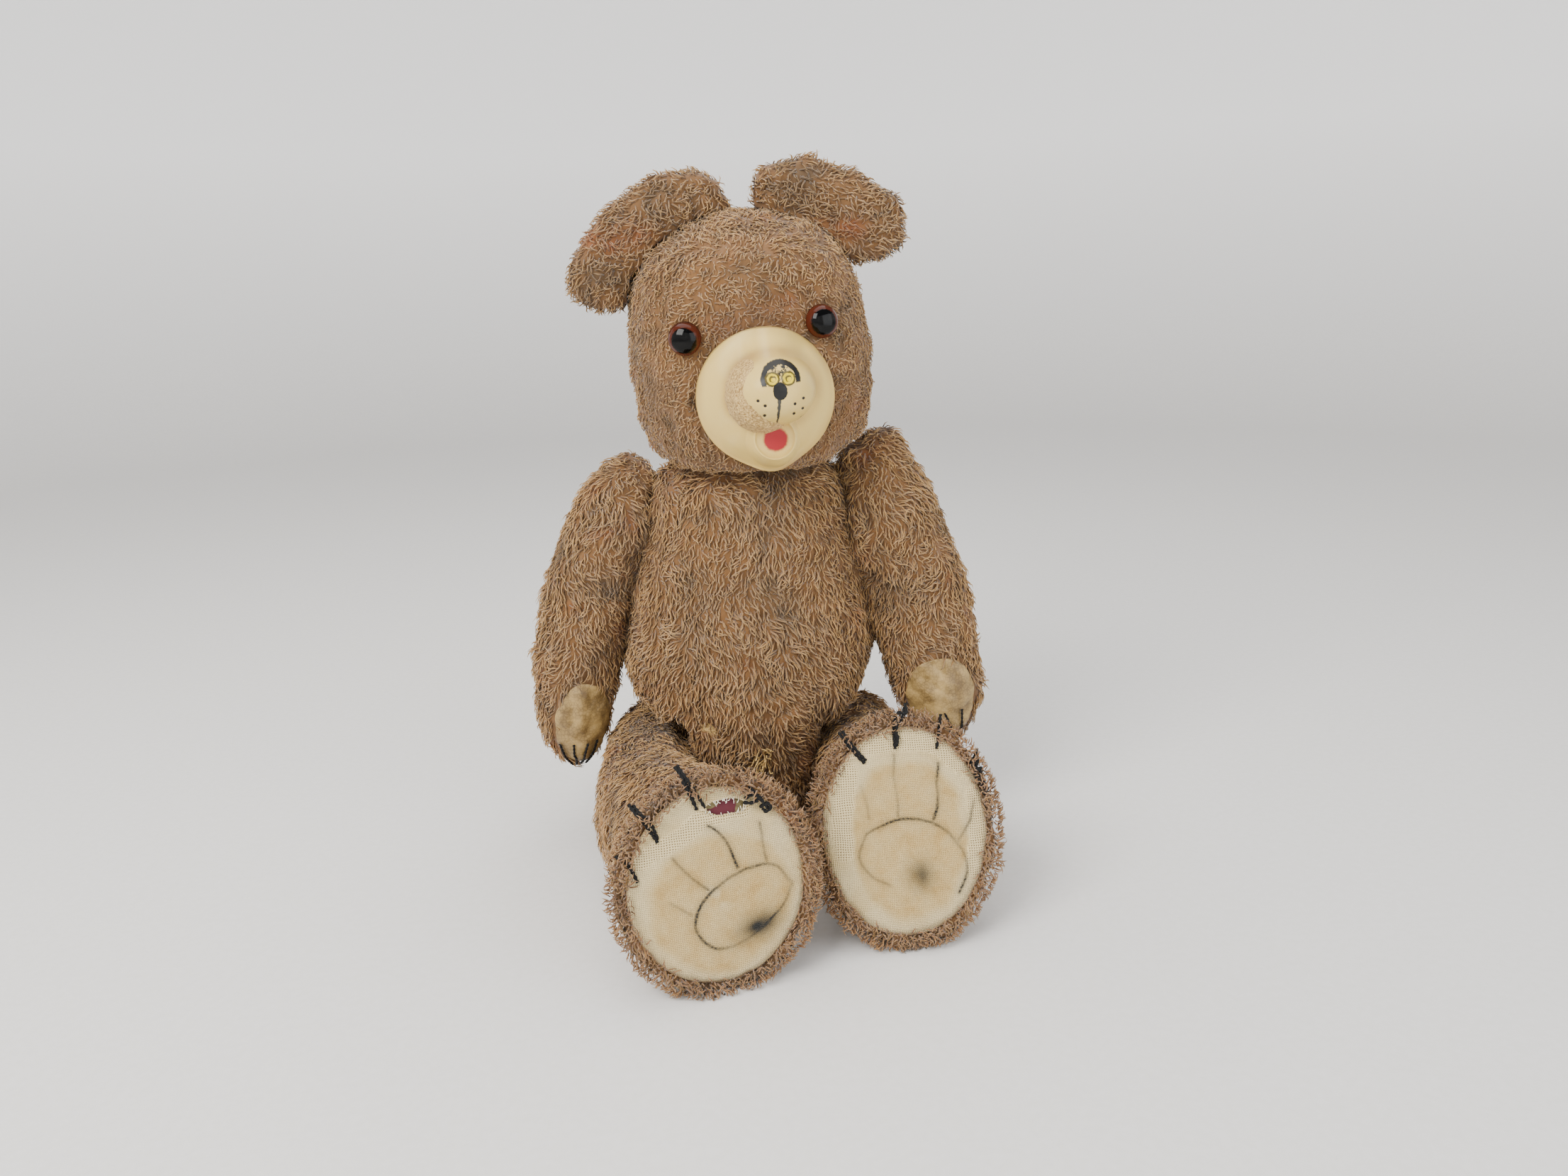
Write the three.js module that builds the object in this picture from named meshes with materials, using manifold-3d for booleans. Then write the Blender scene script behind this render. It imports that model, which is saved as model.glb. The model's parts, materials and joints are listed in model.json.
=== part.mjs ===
// A worn, five-way jointed plush bear sitting on the floor. Millimetres, +Z up, face towards -Y.
// The origin is the middle of the flat patch that it sits on. Left and right are the bear's own:
// its left side is +X.
import * as THREE from "three";
import { mergeVertices } from "three/addons/utils/BufferGeometryUtils.js";
import Module from "manifold-3d";

const wasm = await Module();
wasm.setup();

// Driving dimensions
const plush = 4; // cloth with its worn pile
const fitGap = 0.4; // between pieces that touch
const jointGap = 1.2; // between two bodies at a disc joint
const padCloth = 1.2;
const card = 1.4;
const yarn = 0.9; // radius of the doubled claw yarn
const discThick = 3;
const pinRadius = 1.3;
const pinHead = { radius: 3, thick: 1.2 };
const pinClearance = 0.5;
const maskWall = 3.2;
const eyeRadius = 6.9;

const headAt = { position: [4, -11, 231], turn: 5, roll: -5 };
const joints = {
  neck: { at: [4, 1, 176], axis: [0, 0, 1], disc: 16 },
  shoulder: { at: [44, 6, 154], axis: [0.974, 0, 0.225], disc: 13 },
  hip: { at: [28, 5, 30], axis: [1, 0, 0], disc: 16 },
};

const colours = {
  plush: ["#ad875f", 0.95],
  padCloth: ["#d8ccb2", 0.9],
  handPad: ["#c9bd9c", 0.8],
  rubber: ["#e3dac0", 0.55],
  glass: ["#1c0f0b", 0.08],
  yarn: ["#15151a", 0.9],
  woodWool: ["#b99a62", 0.95],
  card: ["#b28d5c", 0.9],
  steel: ["#7a7a78", 0.4],
};

function material([colour, roughness], metalness = 0) {
  return new THREE.MeshStandardMaterial({ color: colour, roughness, metalness });
}

// Solids from geometries and back

function toSolid(geometry) {
  const bare = geometry.clone();
  bare.deleteAttribute("normal");
  bare.deleteAttribute("uv");
  const merged = mergeVertices(bare, 1e-4);
  const corners = Array.from(merged.index.array);
  const triangles = [];
  for (let i = 0; i < corners.length; i += 3) {
    const [a, b, c] = corners.slice(i, i + 3);
    if (a !== b && b !== c && c !== a) triangles.push(a, b, c);
  }
  const places = merged.attributes.position.array;
  if (volumeOf(places, triangles) < 0) triangles.reverse();
  const mesh = new wasm.Mesh({
    numProp: 3,
    vertProperties: new Float32Array(places),
    triVerts: new Uint32Array(triangles),
  });
  return new wasm.Manifold(mesh);
}

function volumeOf(places, triangles) {
  const [a, b, c] = [new THREE.Vector3(), new THREE.Vector3(), new THREE.Vector3()];
  let volume = 0;
  for (let i = 0; i < triangles.length; i += 3) {
    a.fromArray(places, 3 * triangles[i]);
    b.fromArray(places, 3 * triangles[i + 1]);
    c.fromArray(places, 3 * triangles[i + 2]);
    volume += a.dot(b.cross(c)) / 6;
  }
  return volume;
}

function toGeometry(solid) {
  const mesh = solid.getMesh();
  const geometry = new THREE.BufferGeometry();
  geometry.setAttribute("position", new THREE.BufferAttribute(mesh.vertProperties, mesh.numProp));
  geometry.setIndex(new THREE.BufferAttribute(mesh.triVerts, 1));
  geometry.computeVertexNormals();
  return geometry;
}

function addPiece(group, name, solid, look, metalness) {
  const mesh = new THREE.Mesh(toGeometry(solid), material(look, metalness));
  mesh.name = name;
  group.add(mesh);
}

// A rounded stuffed form: an outline turned about an axis, then laid along a spine of stations.
// Each station has its middle and its two half sizes, across (towards side) and deep.

function stuffedForm({ stations, side, around = 16, along = 10, startRound = 0.2, endRound = 0.2 }) {
  const middles = new THREE.CatmullRomCurve3(stations.map((s) => new THREE.Vector3(...s.at)));
  const halves = new THREE.CatmullRomCurve3(stations.map((s) => new THREE.Vector3(...s.half, 0)));
  const sideways = new THREE.Vector3(...side);

  function point(t, across, deep, lift = 0) {
    const run = middles.getTangent(t);
    const wide = sideways.clone().addScaledVector(run, -sideways.dot(run)).normalize();
    const thick = run.clone().cross(wide);
    const half = halves.getPoint(t);
    return middles
      .getPoint(t)
      .addScaledVector(run, lift * (2 * t - 1))
      .addScaledVector(wide, across * (half.x + lift))
      .addScaledVector(thick, deep * (half.y + lift));
  }

  function roundness(t) {
    if (t < startRound) return Math.sqrt(1 - (1 - t / startRound) ** 2);
    if (t > 1 - endRound) return Math.sqrt(1 - ((t - 1 + endRound) / endRound) ** 2);
    return 1;
  }

  function solid(lift = 0) {
    const outline = [];
    if (startRound === 0) outline.push(new THREE.Vector2(0, 0));
    for (let k = 0; k <= along; k++) {
      const share = k / along;
      const t = share - (0.7 * Math.sin(2 * Math.PI * share)) / (2 * Math.PI);
      outline.push(new THREE.Vector2(roundness(t), t));
    }
    if (endRound === 0) outline.push(new THREE.Vector2(0, 1));
    const geometry = new THREE.LatheGeometry(outline, around);
    const places = geometry.attributes.position;
    for (let i = 0; i < places.count; i++) {
      const moved = point(places.getY(i), places.getX(i), places.getZ(i), lift);
      places.setXYZ(i, moved.x, moved.y, moved.z);
    }
    return toSolid(geometry);
  }

  // A point on the surface, by its share of the length and its angle from the side direction.
  function onSurface(t, degrees, lift = 0) {
    const angle = THREE.MathUtils.degToRad(degrees);
    const r = roundness(t);
    return point(t, r * Math.cos(angle), r * Math.sin(angle), lift);
  }

  return { solid, onSurface, point };
}

function mirrored(values, sign) {
  return [sign * values[0], values[1], values[2]];
}

// A geometry made along +Y, moved so that it starts at a place and runs along an axis.
function standing(geometry, at, axis, along = 0) {
  const direction = new THREE.Vector3(...axis).normalize();
  const turned = new THREE.Quaternion().setFromUnitVectors(new THREE.Vector3(0, 1, 0), direction);
  const start = new THREE.Vector3(...at).addScaledVector(direction, along);
  const placed = geometry.clone();
  placed.applyQuaternion(turned);
  placed.translate(start.x, start.y, start.z);
  return toSolid(placed);
}

function turnedAlong(radius, from, to, joint, sides = 16) {
  const geometry = new THREE.CylinderGeometry(radius, radius, to - from, sides);
  geometry.translate(0, (from + to) / 2, 0);
  return standing(geometry, joint.at, joint.axis);
}

function slab(low, high) {
  const size = high.map((value, i) => value - low[i]);
  const geometry = new THREE.BoxGeometry(...size);
  geometry.translate(...low.map((value, i) => value + size[i] / 2));
  return toSolid(geometry);
}

function ellipsoid(at, radii, tilt = 0, sides = 12) {
  const geometry = new THREE.SphereGeometry(1, sides, 8);
  geometry.scale(...radii);
  geometry.rotateY(tilt);
  geometry.translate(...at);
  return toSolid(geometry);
}

function tube(points, radius, steps = 5, sides = 6) {
  const corners = [];
  for (let i = 0; i < sides; i++) {
    const angle = (2 * Math.PI * i) / sides;
    corners.push(new THREE.Vector2(radius * Math.cos(angle), radius * Math.sin(angle)));
  }
  const outline = new THREE.Shape(corners);
  const route = new THREE.CatmullRomCurve3(points);
  return toSolid(new THREE.ExtrudeGeometry(outline, { extrudePath: route, steps }));
}

const belowFloor = slab([-200, -300, -60], [200, 200, 0]);

// Everything of a disc joint is measured along its axis from the torso's outer face:
// the torso's disc lies inside the torso's skin, and the limb's disc inside the limb's.
const limbFace = jointGap;
const innerDisc = { from: -plush - fitGap - discThick, to: -plush - fitGap };
const outerDisc = { from: limbFace + plush + fitGap, to: limbFace + plush + fitGap + discThick };

function jointOn(name, sign) {
  const joint = joints[name];
  return { at: mirrored(joint.at, sign), axis: mirrored(joint.axis, sign), disc: joint.disc };
}

function discSolid(joint, span) {
  const hole = turnedAlong(pinRadius + pinClearance, span.from - 1, span.to + 1, joint, 6);
  return turnedAlong(joint.disc, span.from, span.to, joint).subtract(hole);
}

function pinSolid(joint) {
  const start = innerDisc.from - fitGap - pinHead.thick;
  const end = outerDisc.to + fitGap + pinHead.thick;
  const outline = [
    [0, 0],
    [pinHead.radius, 0],
    [pinHead.radius, pinHead.thick],
    [pinRadius, pinHead.thick],
    [pinRadius, end - start - pinHead.thick],
    [pinHead.radius, end - start - pinHead.thick],
    [pinHead.radius, end - start],
    [0, end - start],
  ];
  const lathe = new THREE.LatheGeometry(outline.map(([r, y]) => new THREE.Vector2(r, y)), 8);
  return standing(lathe, joint.at, joint.axis, start);
}

// The hole that a pin goes through, and the room that its discs and heads need in the stuffing.
function pinHole(joint) {
  return turnedAlong(pinRadius + pinClearance, -30, 30, joint, 6);
}

function discRoom(joint) {
  const room = pinHead.thick + 2 * fitGap;
  return turnedAlong(joint.disc + fitGap, innerDisc.from - room, outerDisc.to + room, joint);
}

// A limb's form is cut flat where it faces the torso; wall is how deep inside its skin.
function cutAtJoint(solid, joint, reach, wall) {
  return solid.subtract(turnedAlong(reach, -120, limbFace + wall, joint, 12));
}

// The torso is cut flat, and given a round recess, where a limb turns against it.
function cutForLimb(solid, joint, reach, wall) {
  return solid.subtract(turnedAlong(reach + wall, -wall, 80, joint, 20));
}

const sides = [["left", 1], ["right", -1]];
const bear = new THREE.Group();

// Torso

const torsoForm = stuffedForm({
  side: [1, 0, 0],
  around: 16,
  along: 11,
  startRound: 0,
  endRound: 0.08,
  stations: [
    { at: [0, 3, 0], half: [29, 29] },
    { at: [0, 1, 26], half: [37, 46] },
    { at: [0, 0, 50], half: [40, 53] },
    { at: [-2, 1, 72], half: [62, 54] },
    { at: [-2, 4, 104], half: [59, 48] },
    { at: [0, 7, 145], half: [51, 42] },
    { at: [1, 8, 184], half: [48, 37] },
  ],
});
const limbReach = { shoulder: 110, hip: 35 }; // radius of the recess that each limb turns in
const thighTop = 64;

function torsoShape(wall) {
  let shape = torsoForm.solid(-wall);
  sides.forEach(([, sign]) => {
    shape = cutForLimb(shape, jointOn("shoulder", sign), limbReach.shoulder, wall);
    shape = cutForLimb(shape, jointOn("hip", sign), limbReach.hip, wall);
    const inner = joints.hip.at[0] - wall;
    const [low, high] = sign > 0 ? [inner, 120] : [-120, -inner];
    shape = shape.subtract(slab([low, -100, -20], [high, 20, thighTop + wall]));
  });
  shape = cutForLimb(shape, joints.neck, 70, wall);
  return shape.subtract(belowFloor.translate([0, 0, wall]));
}

function addTorso() {
  const crotchTear = slab([0, -70, 40], [5, -30, 54]);
  const limbJoints = sides.flatMap(([, sign]) => [jointOn("shoulder", sign), jointOn("hip", sign)]);
  let skin = torsoShape(0).subtract(torsoShape(plush)).subtract(crotchTear);
  let stuffing = torsoShape(plush + fitGap);
  [joints.neck, ...limbJoints].forEach((joint) => {
    skin = skin.subtract(pinHole(joint));
    stuffing = stuffing.subtract(discRoom(joint));
  });
  addPiece(bear, "torso_skin", skin, colours.plush);
  addPiece(bear, "torso_stuffing", stuffing, colours.woodWool);
}

// Head, made about its own middle, then turned and tilted as a group

const head = new THREE.Group();
head.position.set(...headAt.position);
head.rotation.set(0, THREE.MathUtils.degToRad(headAt.roll), THREE.MathUtils.degToRad(headAt.turn), "ZYX");
head.updateMatrixWorld();
bear.add(head);

const headForm = stuffedForm({
  side: [1, 0, 0],
  around: 18,
  along: 11,
  startRound: 0.2,
  endRound: 0.36,
  stations: [
    { at: [0, 7, -62], half: [40, 38] },
    { at: [0, 4, -38], half: [51, 46] },
    { at: [0, 0, -10], half: [54, 50] },
    { at: [0, 0, 16], half: [52, 49] },
    { at: [0, 2, 40], half: [48, 45] },
    { at: [0, 2, 57], half: [40, 38] },
  ],
});
const mask = { at: [-0.5, -28, -18], wide: 30, tall: 32, deep: 46, snout: 18 };
const eyeAt = { across: 28, back: -43, up: 7, outwards: 0.3 };
const earStations = {
  left: [
    { at: [7, 4, 60], half: [13, 8] },
    { at: [27, 2, 60], half: [17, 10] },
    { at: [51, 0, 48], half: [18, 10] },
    { at: [73, -3, 31], half: [14, 8] },
  ],
  right: [
    { at: [0, 4, 60], half: [11, 8] },
    { at: [-20, 2, 60], half: [18, 10] },
    { at: [-47, 0, 44], half: [20, 10] },
    { at: [-73, -3, 24], half: [15, 8] },
  ],
};

// The moulded mask's outside, or with less than nothing for grow, its hollow.
function maskSolid(grow, back = 0) {
  const { wide, deep, snout } = mask;
  const outline = [
    [0, -back],
    [wide, -back],
    [wide, 8],
    [wide - 2, 15],
    [wide - 6, 20],
    [snout + 1, 25],
    [snout, 32],
    [snout - 3, 39],
    [snout - 9, 44],
    [0, deep],
  ];
  const moved = outline.map(([r, y], i) => {
    const atAxis = i === 0 || i === outline.length - 1;
    return new THREE.Vector2(atAxis ? 0 : r + grow, y > 0 ? y + grow : y);
  });
  const geometry = new THREE.LatheGeometry(moved, 16);
  geometry.scale(1, 1, mask.tall / wide);
  geometry.rotateX(Math.PI);
  geometry.translate(...mask.at);
  return toSolid(geometry);
}

function addEye(name, sign, fromSkin) {
  const axis = [sign * eyeAt.outwards, -1, 0.1];
  const frame = { at: [sign * eyeAt.across, eyeAt.back, eyeAt.up], axis };
  const outline = [
    [0, -2.6],
    [eyeRadius - 1.5, -2.6],
    [eyeRadius, -1],
    [eyeRadius, 0.5],
    [eyeRadius - 1.2, 3],
    [eyeRadius - 3.5, 4.8],
    [0, 5.4],
  ];
  const dome = new THREE.LatheGeometry(outline.map(([r, y]) => new THREE.Vector2(r, y)), 14);
  const direction = new THREE.Vector3(...axis).normalize();
  const spread = new THREE.Vector3(direction.y, -direction.x, 0).normalize();
  const route = [-3.2, -8, -11, -8, -3.2].map((depth, i) => {
    const sideStep = [-0.9, -1.3, 0, 1.3, 0.9][i];
    const place = new THREE.Vector3(...frame.at).addScaledVector(direction, depth);
    return place.addScaledVector(spread, sideStep);
  });
  addPiece(head, `eye_${name}`, standing(dome, frame.at, axis), colours.glass);
  addPiece(head, `eye_shank_${name}`, tube(route, 0.45, 8, 5), colours.steel, 1);
  fromSkin(turnedAlong(eyeRadius + fitGap, -3, 20, frame), turnedAlong(2.6, -13, 0, frame, 10));
}

function addHead() {
  const neck = { ...joints.neck };
  neck.at = head.worldToLocal(new THREE.Vector3(...joints.neck.at)).toArray();
  const turn = head.quaternion.clone().invert();
  neck.axis = new THREE.Vector3(...joints.neck.axis).applyQuaternion(turn).toArray();

  const body = (wall) => cutAtJoint(headForm.solid(-wall), neck, 90, wall);
  const maskRoom = maskSolid(fitGap, 2);
  const hollow = maskSolid(-maskWall, 4);
  const mouth = ellipsoid([0, mask.at[1] - 29, mask.at[2] - 20], [6, 5.5, 5]);
  let skin = body(0).subtract(body(plush)).subtract(maskRoom).subtract(pinHole(neck));
  let stuffing = body(plush + fitGap).subtract(maskRoom).add(maskSolid(-maskWall - fitGap, 8));
  stuffing = stuffing.subtract(discRoom(neck));
  sides.forEach(([name, sign]) => {
    addEye(name, sign, (socket, shankHole) => {
      skin = skin.subtract(socket).subtract(shankHole);
      stuffing = stuffing.subtract(shankHole);
    });
    const ear = stuffedForm({
      side: [0, 0, 1],
      around: 10,
      along: 7,
      startRound: 0.25,
      endRound: 0.25,
      stations: earStations[name],
    });
    addPiece(head, `ear_${name}`, ear.solid().subtract(headForm.solid(fitGap)), colours.plush);
  });
  addPiece(head, "head_skin", skin, colours.plush);
  addPiece(head, "head_stuffing", stuffing, colours.woodWool);
  addPiece(head, "muzzle", maskSolid(0).subtract(hollow).subtract(mouth), colours.rubber);
}

// Arms, hanging from the shoulders with their palms forwards and inwards

const armForms = {
  left: [
    { at: [66, 9, 193], half: [10, 13] },
    { at: [61, 6, 160], half: [26, 27] },
    { at: [76, 2, 124], half: [24, 24] },
    { at: [84, -5, 88], half: [25, 23] },
    { at: [95, -13, 38], half: [20, 18] },
  ],
  right: [
    { at: [-54, 8, 184], half: [11, 14] },
    { at: [-58, 6, 156], half: [24, 25] },
    { at: [-76, 2, 117], half: [22, 24] },
    { at: [-85, -6, 75], half: [21, 22] },
    { at: [-87, -12, 31], half: [16, 16] },
  ],
};
const palm = {
  left: { t: 0.88, turn: 96, radii: [17, 12, 21] },
  right: { t: 0.88, turn: 60, radii: [13, 12, 24] },
};
const handClaws = { left: [70, 95, 120, 145], right: [35, 60, 85, 110] };

function addArm(name, sign) {
  const joint = jointOn("shoulder", sign);
  const form = stuffedForm({
    side: [1, 0, 0],
    around: 12,
    along: 8,
    startRound: 0.22,
    endRound: 0.2,
    stations: armForms[name],
  });
  const body = (wall) => cutAtJoint(form.solid(-wall), joint, 90, wall);
  const at = form.onSurface(palm[name].t, palm[name].turn).toArray();
  const patch = (grow) => ellipsoid(at, palm[name].radii.map((r) => r + grow));
  const skin = body(0).subtract(body(plush)).subtract(patch(0)).subtract(pinHole(joint));
  const pad = body(0).subtract(body(padCloth)).intersect(patch(-fitGap));
  const stuffing = body(plush + fitGap).subtract(discRoom(joint));
  addPiece(bear, `arm_skin_${name}`, skin, colours.plush);
  addPiece(bear, `arm_stuffing_${name}`, stuffing, colours.woodWool);
  addPiece(bear, `hand_pad_${name}`, pad, colours.handPad);
  handClaws[name].forEach((turn, i) => {
    const route = [0.9, 0.93, 0.96, 0.985].map((t) => form.onSurface(t, turn, yarn + 2 * fitGap));
    addPiece(bear, `hand_claw_${name}_${i + 1}`, tube(route, yarn), colours.yarn);
  });
}

// Legs, stretched forwards on the floor, with a flat sole at the end of each

const legForms = {
  left: [
    { at: [48, 37, 30], half: [23, 28] },
    { at: [47, 4, 30], half: [25, 30.5] },
    { at: [51, -34, 30], half: [23, 31] },
    { at: [54, -66, 32], half: [26, 33] },
    { at: [59, -92, 37], half: [32, 40] },
    { at: [61, -115, 45], half: [37, 46] },
  ],
  right: [
    { at: [-48, 37, 30], half: [23, 28] },
    { at: [-47, 4, 30], half: [25, 30.5] },
    { at: [-52, -40, 30], half: [22, 31] },
    { at: [-39, -80, 32], half: [26, 33] },
    { at: [-19, -122, 37], half: [33, 39] },
    { at: [-12, -147, 41], half: [38, 42] },
  ],
};
const soleShare = 0.9; // of the sole, inside its furry rim
const footClaws = { left: [30, 62, 92, 125], right: [172, 142, 110, 76] };
const padTear = { foot: "right", across: 0.06, up: 0.7, radii: [7, 6, 1.6], tilt: -0.3 };

// A plate of the sole's outline, between two depths along the foot.
function solePlate(form, share, from, to, lift = 0) {
  const geometry = new THREE.CylinderGeometry(share, share, 1, 18);
  const places = geometry.attributes.position;
  const middle = form.point(1, 0, 0);
  const forwards = form.point(1, 0, 0, 1).sub(middle);
  for (let i = 0; i < places.count; i++) {
    const depth = places.getY(i) > 0 ? to : from;
    const place = form.point(1, places.getX(i), places.getZ(i), lift);
    place.addScaledVector(forwards, depth - lift);
    places.setXYZ(i, place.x, place.y, place.z);
  }
  return toSolid(geometry);
}

function footClawRoute(form, degrees) {
  const angle = THREE.MathUtils.degToRad(degrees);
  const forwards = form.point(1, 0, 0, 1).sub(form.point(1, 0, 0));
  const lift = yarn + 2 * fitGap;
  const onSole = (share) => {
    const place = form.point(1, share * Math.cos(angle), share * Math.sin(angle));
    return place.addScaledVector(forwards, lift);
  };
  const overRim = onSole(1).add(form.onSurface(1, degrees, lift).sub(form.point(1, 0, 0, lift)));
  overRim.sub(form.onSurface(1, degrees).sub(form.point(1, 0, 0)));
  return [onSole(0.72), onSole(0.9), overRim, form.onSurface(0.96, degrees, lift)];
}

function addLeg(name, sign) {
  const joint = jointOn("hip", sign);
  const form = stuffedForm({
    side: [1, 0, 0],
    around: 14,
    along: 8,
    startRound: 0.16,
    endRound: 0,
    stations: legForms[name],
  });
  const body = (wall) => {
    const cut = cutAtJoint(form.solid(-wall), joint, 45, wall);
    return cut.subtract(belowFloor.translate([0, 0, wall]));
  };
  const opening = solePlate(form, soleShare, -plush - 1, 2);
  const padFace = -fitGap;
  const cardFace = padFace - padCloth - fitGap;
  let pad = solePlate(form, soleShare, padFace - padCloth, padFace, -fitGap);
  if (padTear.foot === name) {
    const at = form.point(1, padTear.across, padTear.up).toArray();
    pad = pad.subtract(ellipsoid(at, padTear.radii, padTear.tilt));
  }
  const soleCard = solePlate(form, soleShare, cardFace - card, cardFace, -fitGap);
  const skin = body(0).subtract(body(plush)).subtract(opening).subtract(pinHole(joint));
  const stuffing = body(plush + fitGap).subtract(discRoom(joint));
  addPiece(bear, `leg_skin_${name}`, skin, colours.plush);
  addPiece(bear, `leg_stuffing_${name}`, stuffing, colours.woodWool);
  addPiece(bear, `foot_pad_${name}`, pad, colours.padCloth);
  addPiece(bear, `sole_card_${name}`, soleCard, colours.card);
  footClaws[name].forEach((turn, i) => {
    const claw = tube(footClawRoute(form, turn), yarn);
    addPiece(bear, `foot_claw_${name}_${i + 1}`, claw, colours.yarn);
  });
}

function addDiscs(place, joint, end = "") {
  addPiece(bear, `${place}_disc_inner${end}`, discSolid(joint, innerDisc), colours.card);
  addPiece(bear, `${place}_disc_outer${end}`, discSolid(joint, outerDisc), colours.card);
  addPiece(bear, `${place}_pin${end}`, pinSolid(joint), colours.steel, 1);
}

addTorso();
addHead();
addDiscs("neck", joints.neck);
sides.forEach(([name, sign]) => {
  addArm(name, sign);
  addLeg(name, sign);
  addDiscs("shoulder", jointOn("shoulder", sign), `_${name}`);
  addDiscs("hip", jointOn("hip", sign), `_${name}`);
});

export default bear;
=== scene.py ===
# A worn, five-way jointed plush bear with a moulded muzzle, sitting with its legs out.
# Blender works in metres, +Z up, with the face towards -Y and the bear's left at +X.
# Sizes in the dictionaries are millimetres.
import json
import math

import bmesh
import bpy
import numpy as np
from mathutils import Matrix, Vector, noise
from mathutils.bvhtree import BVHTree

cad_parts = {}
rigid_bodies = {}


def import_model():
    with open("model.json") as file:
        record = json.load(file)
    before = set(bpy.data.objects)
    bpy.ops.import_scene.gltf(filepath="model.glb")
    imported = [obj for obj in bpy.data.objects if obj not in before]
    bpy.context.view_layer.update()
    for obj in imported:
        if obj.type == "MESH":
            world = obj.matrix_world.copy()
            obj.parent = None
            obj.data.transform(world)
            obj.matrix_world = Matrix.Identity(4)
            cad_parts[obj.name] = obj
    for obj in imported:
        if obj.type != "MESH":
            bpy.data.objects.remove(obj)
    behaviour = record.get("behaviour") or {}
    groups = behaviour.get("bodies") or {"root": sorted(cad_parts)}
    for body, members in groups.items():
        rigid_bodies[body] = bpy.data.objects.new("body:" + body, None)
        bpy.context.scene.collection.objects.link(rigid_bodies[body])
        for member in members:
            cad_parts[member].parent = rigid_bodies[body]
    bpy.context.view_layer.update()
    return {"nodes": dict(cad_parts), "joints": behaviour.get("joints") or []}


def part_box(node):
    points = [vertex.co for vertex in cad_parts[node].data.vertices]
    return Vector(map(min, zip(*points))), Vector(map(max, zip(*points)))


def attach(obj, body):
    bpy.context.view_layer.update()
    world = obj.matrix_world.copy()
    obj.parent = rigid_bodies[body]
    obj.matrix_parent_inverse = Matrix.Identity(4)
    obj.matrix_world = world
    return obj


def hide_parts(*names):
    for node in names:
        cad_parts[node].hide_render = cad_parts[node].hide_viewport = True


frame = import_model()
scene = bpy.context.scene
mm = 0.001
sides = {"left": 1, "right": -1}
noise.seed_set(11)  # without this the noise is seeded from the clock


# Small helpers

def linear(code):
    channels = [int(code[i:i + 2], 16) / 255 for i in (1, 3, 5)]
    curve = [c / 12.92 if c <= 0.04045 else ((c + 0.055) / 1.055) ** 2.4 for c in channels]
    return (*curve, 1)


def addNode(tree, kind, inputs=None, stops=None, **settings):
    node = tree.nodes.new(kind)
    for key, value in settings.items():
        setattr(node, key, value)
    for key, value in (inputs or {}).items():
        if isinstance(value, bpy.types.NodeSocket):
            tree.links.new(value, node.inputs[key])
        else:
            node.inputs[key].default_value = value
    if stops:
        ramp = node.color_ramp
        while len(ramp.elements) < len(stops):
            ramp.elements.new(1)
        for element, (place, code) in zip(ramp.elements, stops):
            element.position = place
            element.color = linear(code)
    return node


def newMaterial(name, **constants):
    material = bpy.data.materials.new(name)
    material.use_nodes = True
    tree = material.node_tree
    shader = tree.nodes["Principled BSDF"]
    for key, value in constants.items():
        shader.inputs[key.replace("_", " ")].default_value = value
    return material, tree, shader


def coat(tree, base, code, share):
    # One colour laid over another by a share
    return addNode(tree, "ShaderNodeMix", {0: share, 6: base, 7: linear(code)}, data_type="RGBA").outputs[2]


def placesOf(mesh):
    found = np.empty(len(mesh.vertices) * 3)
    mesh.vertices.foreach_get("co", found)
    return found.reshape(-1, 3)


def normalsOf(mesh):
    found = np.empty(len(mesh.vertices) * 3)
    mesh.vertex_normals.foreach_get("vector", found)
    return found.reshape(-1, 3)


def setPlaces(mesh, places):
    mesh.vertices.foreach_set("co", np.asarray(places, float).ravel())
    mesh.update()


def store(mesh, name, values, kind="FLOAT"):
    key = "vector" if kind == "FLOAT_VECTOR" else "value"
    attribute = mesh.attributes.new(name, kind, "POINT")
    attribute.data.foreach_set(key, np.asarray(values, np.float32).ravel())


def dropAttributes(mesh, *names):
    for name in names:
        if name in mesh.attributes:
            mesh.attributes.remove(mesh.attributes[name])


def newPiece(name, mesh, material=None, smooth=True):
    piece = bpy.data.objects.new(name, mesh)
    scene.collection.objects.link(piece)
    if material:
        mesh.materials.clear()
        mesh.materials.append(material)
    if smooth:
        mesh.shade_smooth()
    return piece


def meshFrom(name, places, faces):
    mesh = bpy.data.meshes.new(name)
    mesh.from_pydata([tuple(p) for p in places], [], faces)
    mesh.update()
    return mesh


def bake(piece):
    # The piece with its modifiers applied, as a plain mesh
    graph = bpy.context.evaluated_depsgraph_get()
    mesh = bpy.data.meshes.new_from_object(piece.evaluated_get(graph))
    old = piece.data
    piece.modifiers.clear()
    piece.data = mesh
    bpy.data.meshes.remove(old)
    return piece


def fit(piece, body, slot, *nodes):
    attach(piece, body)
    if nodes:
        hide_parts(*nodes)
    return piece


def unit(vectors):
    vectors = np.asarray(vectors, float)
    return vectors / np.maximum(np.linalg.norm(vectors, axis=-1, keepdims=True), 1e-9)


def bump(places, at, radii):
    # 1 at a place, falling smoothly to 0 past its radii, all in millimetres
    away = np.linalg.norm((places / mm - np.array(at)) / np.array(radii), axis=1)
    return np.exp(-away ** 2 * 2)


def ramp(values, low, high):
    share = np.clip((values - low) / (high - low), 0, 1)
    return share * share * (3 - 2 * share)


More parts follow.
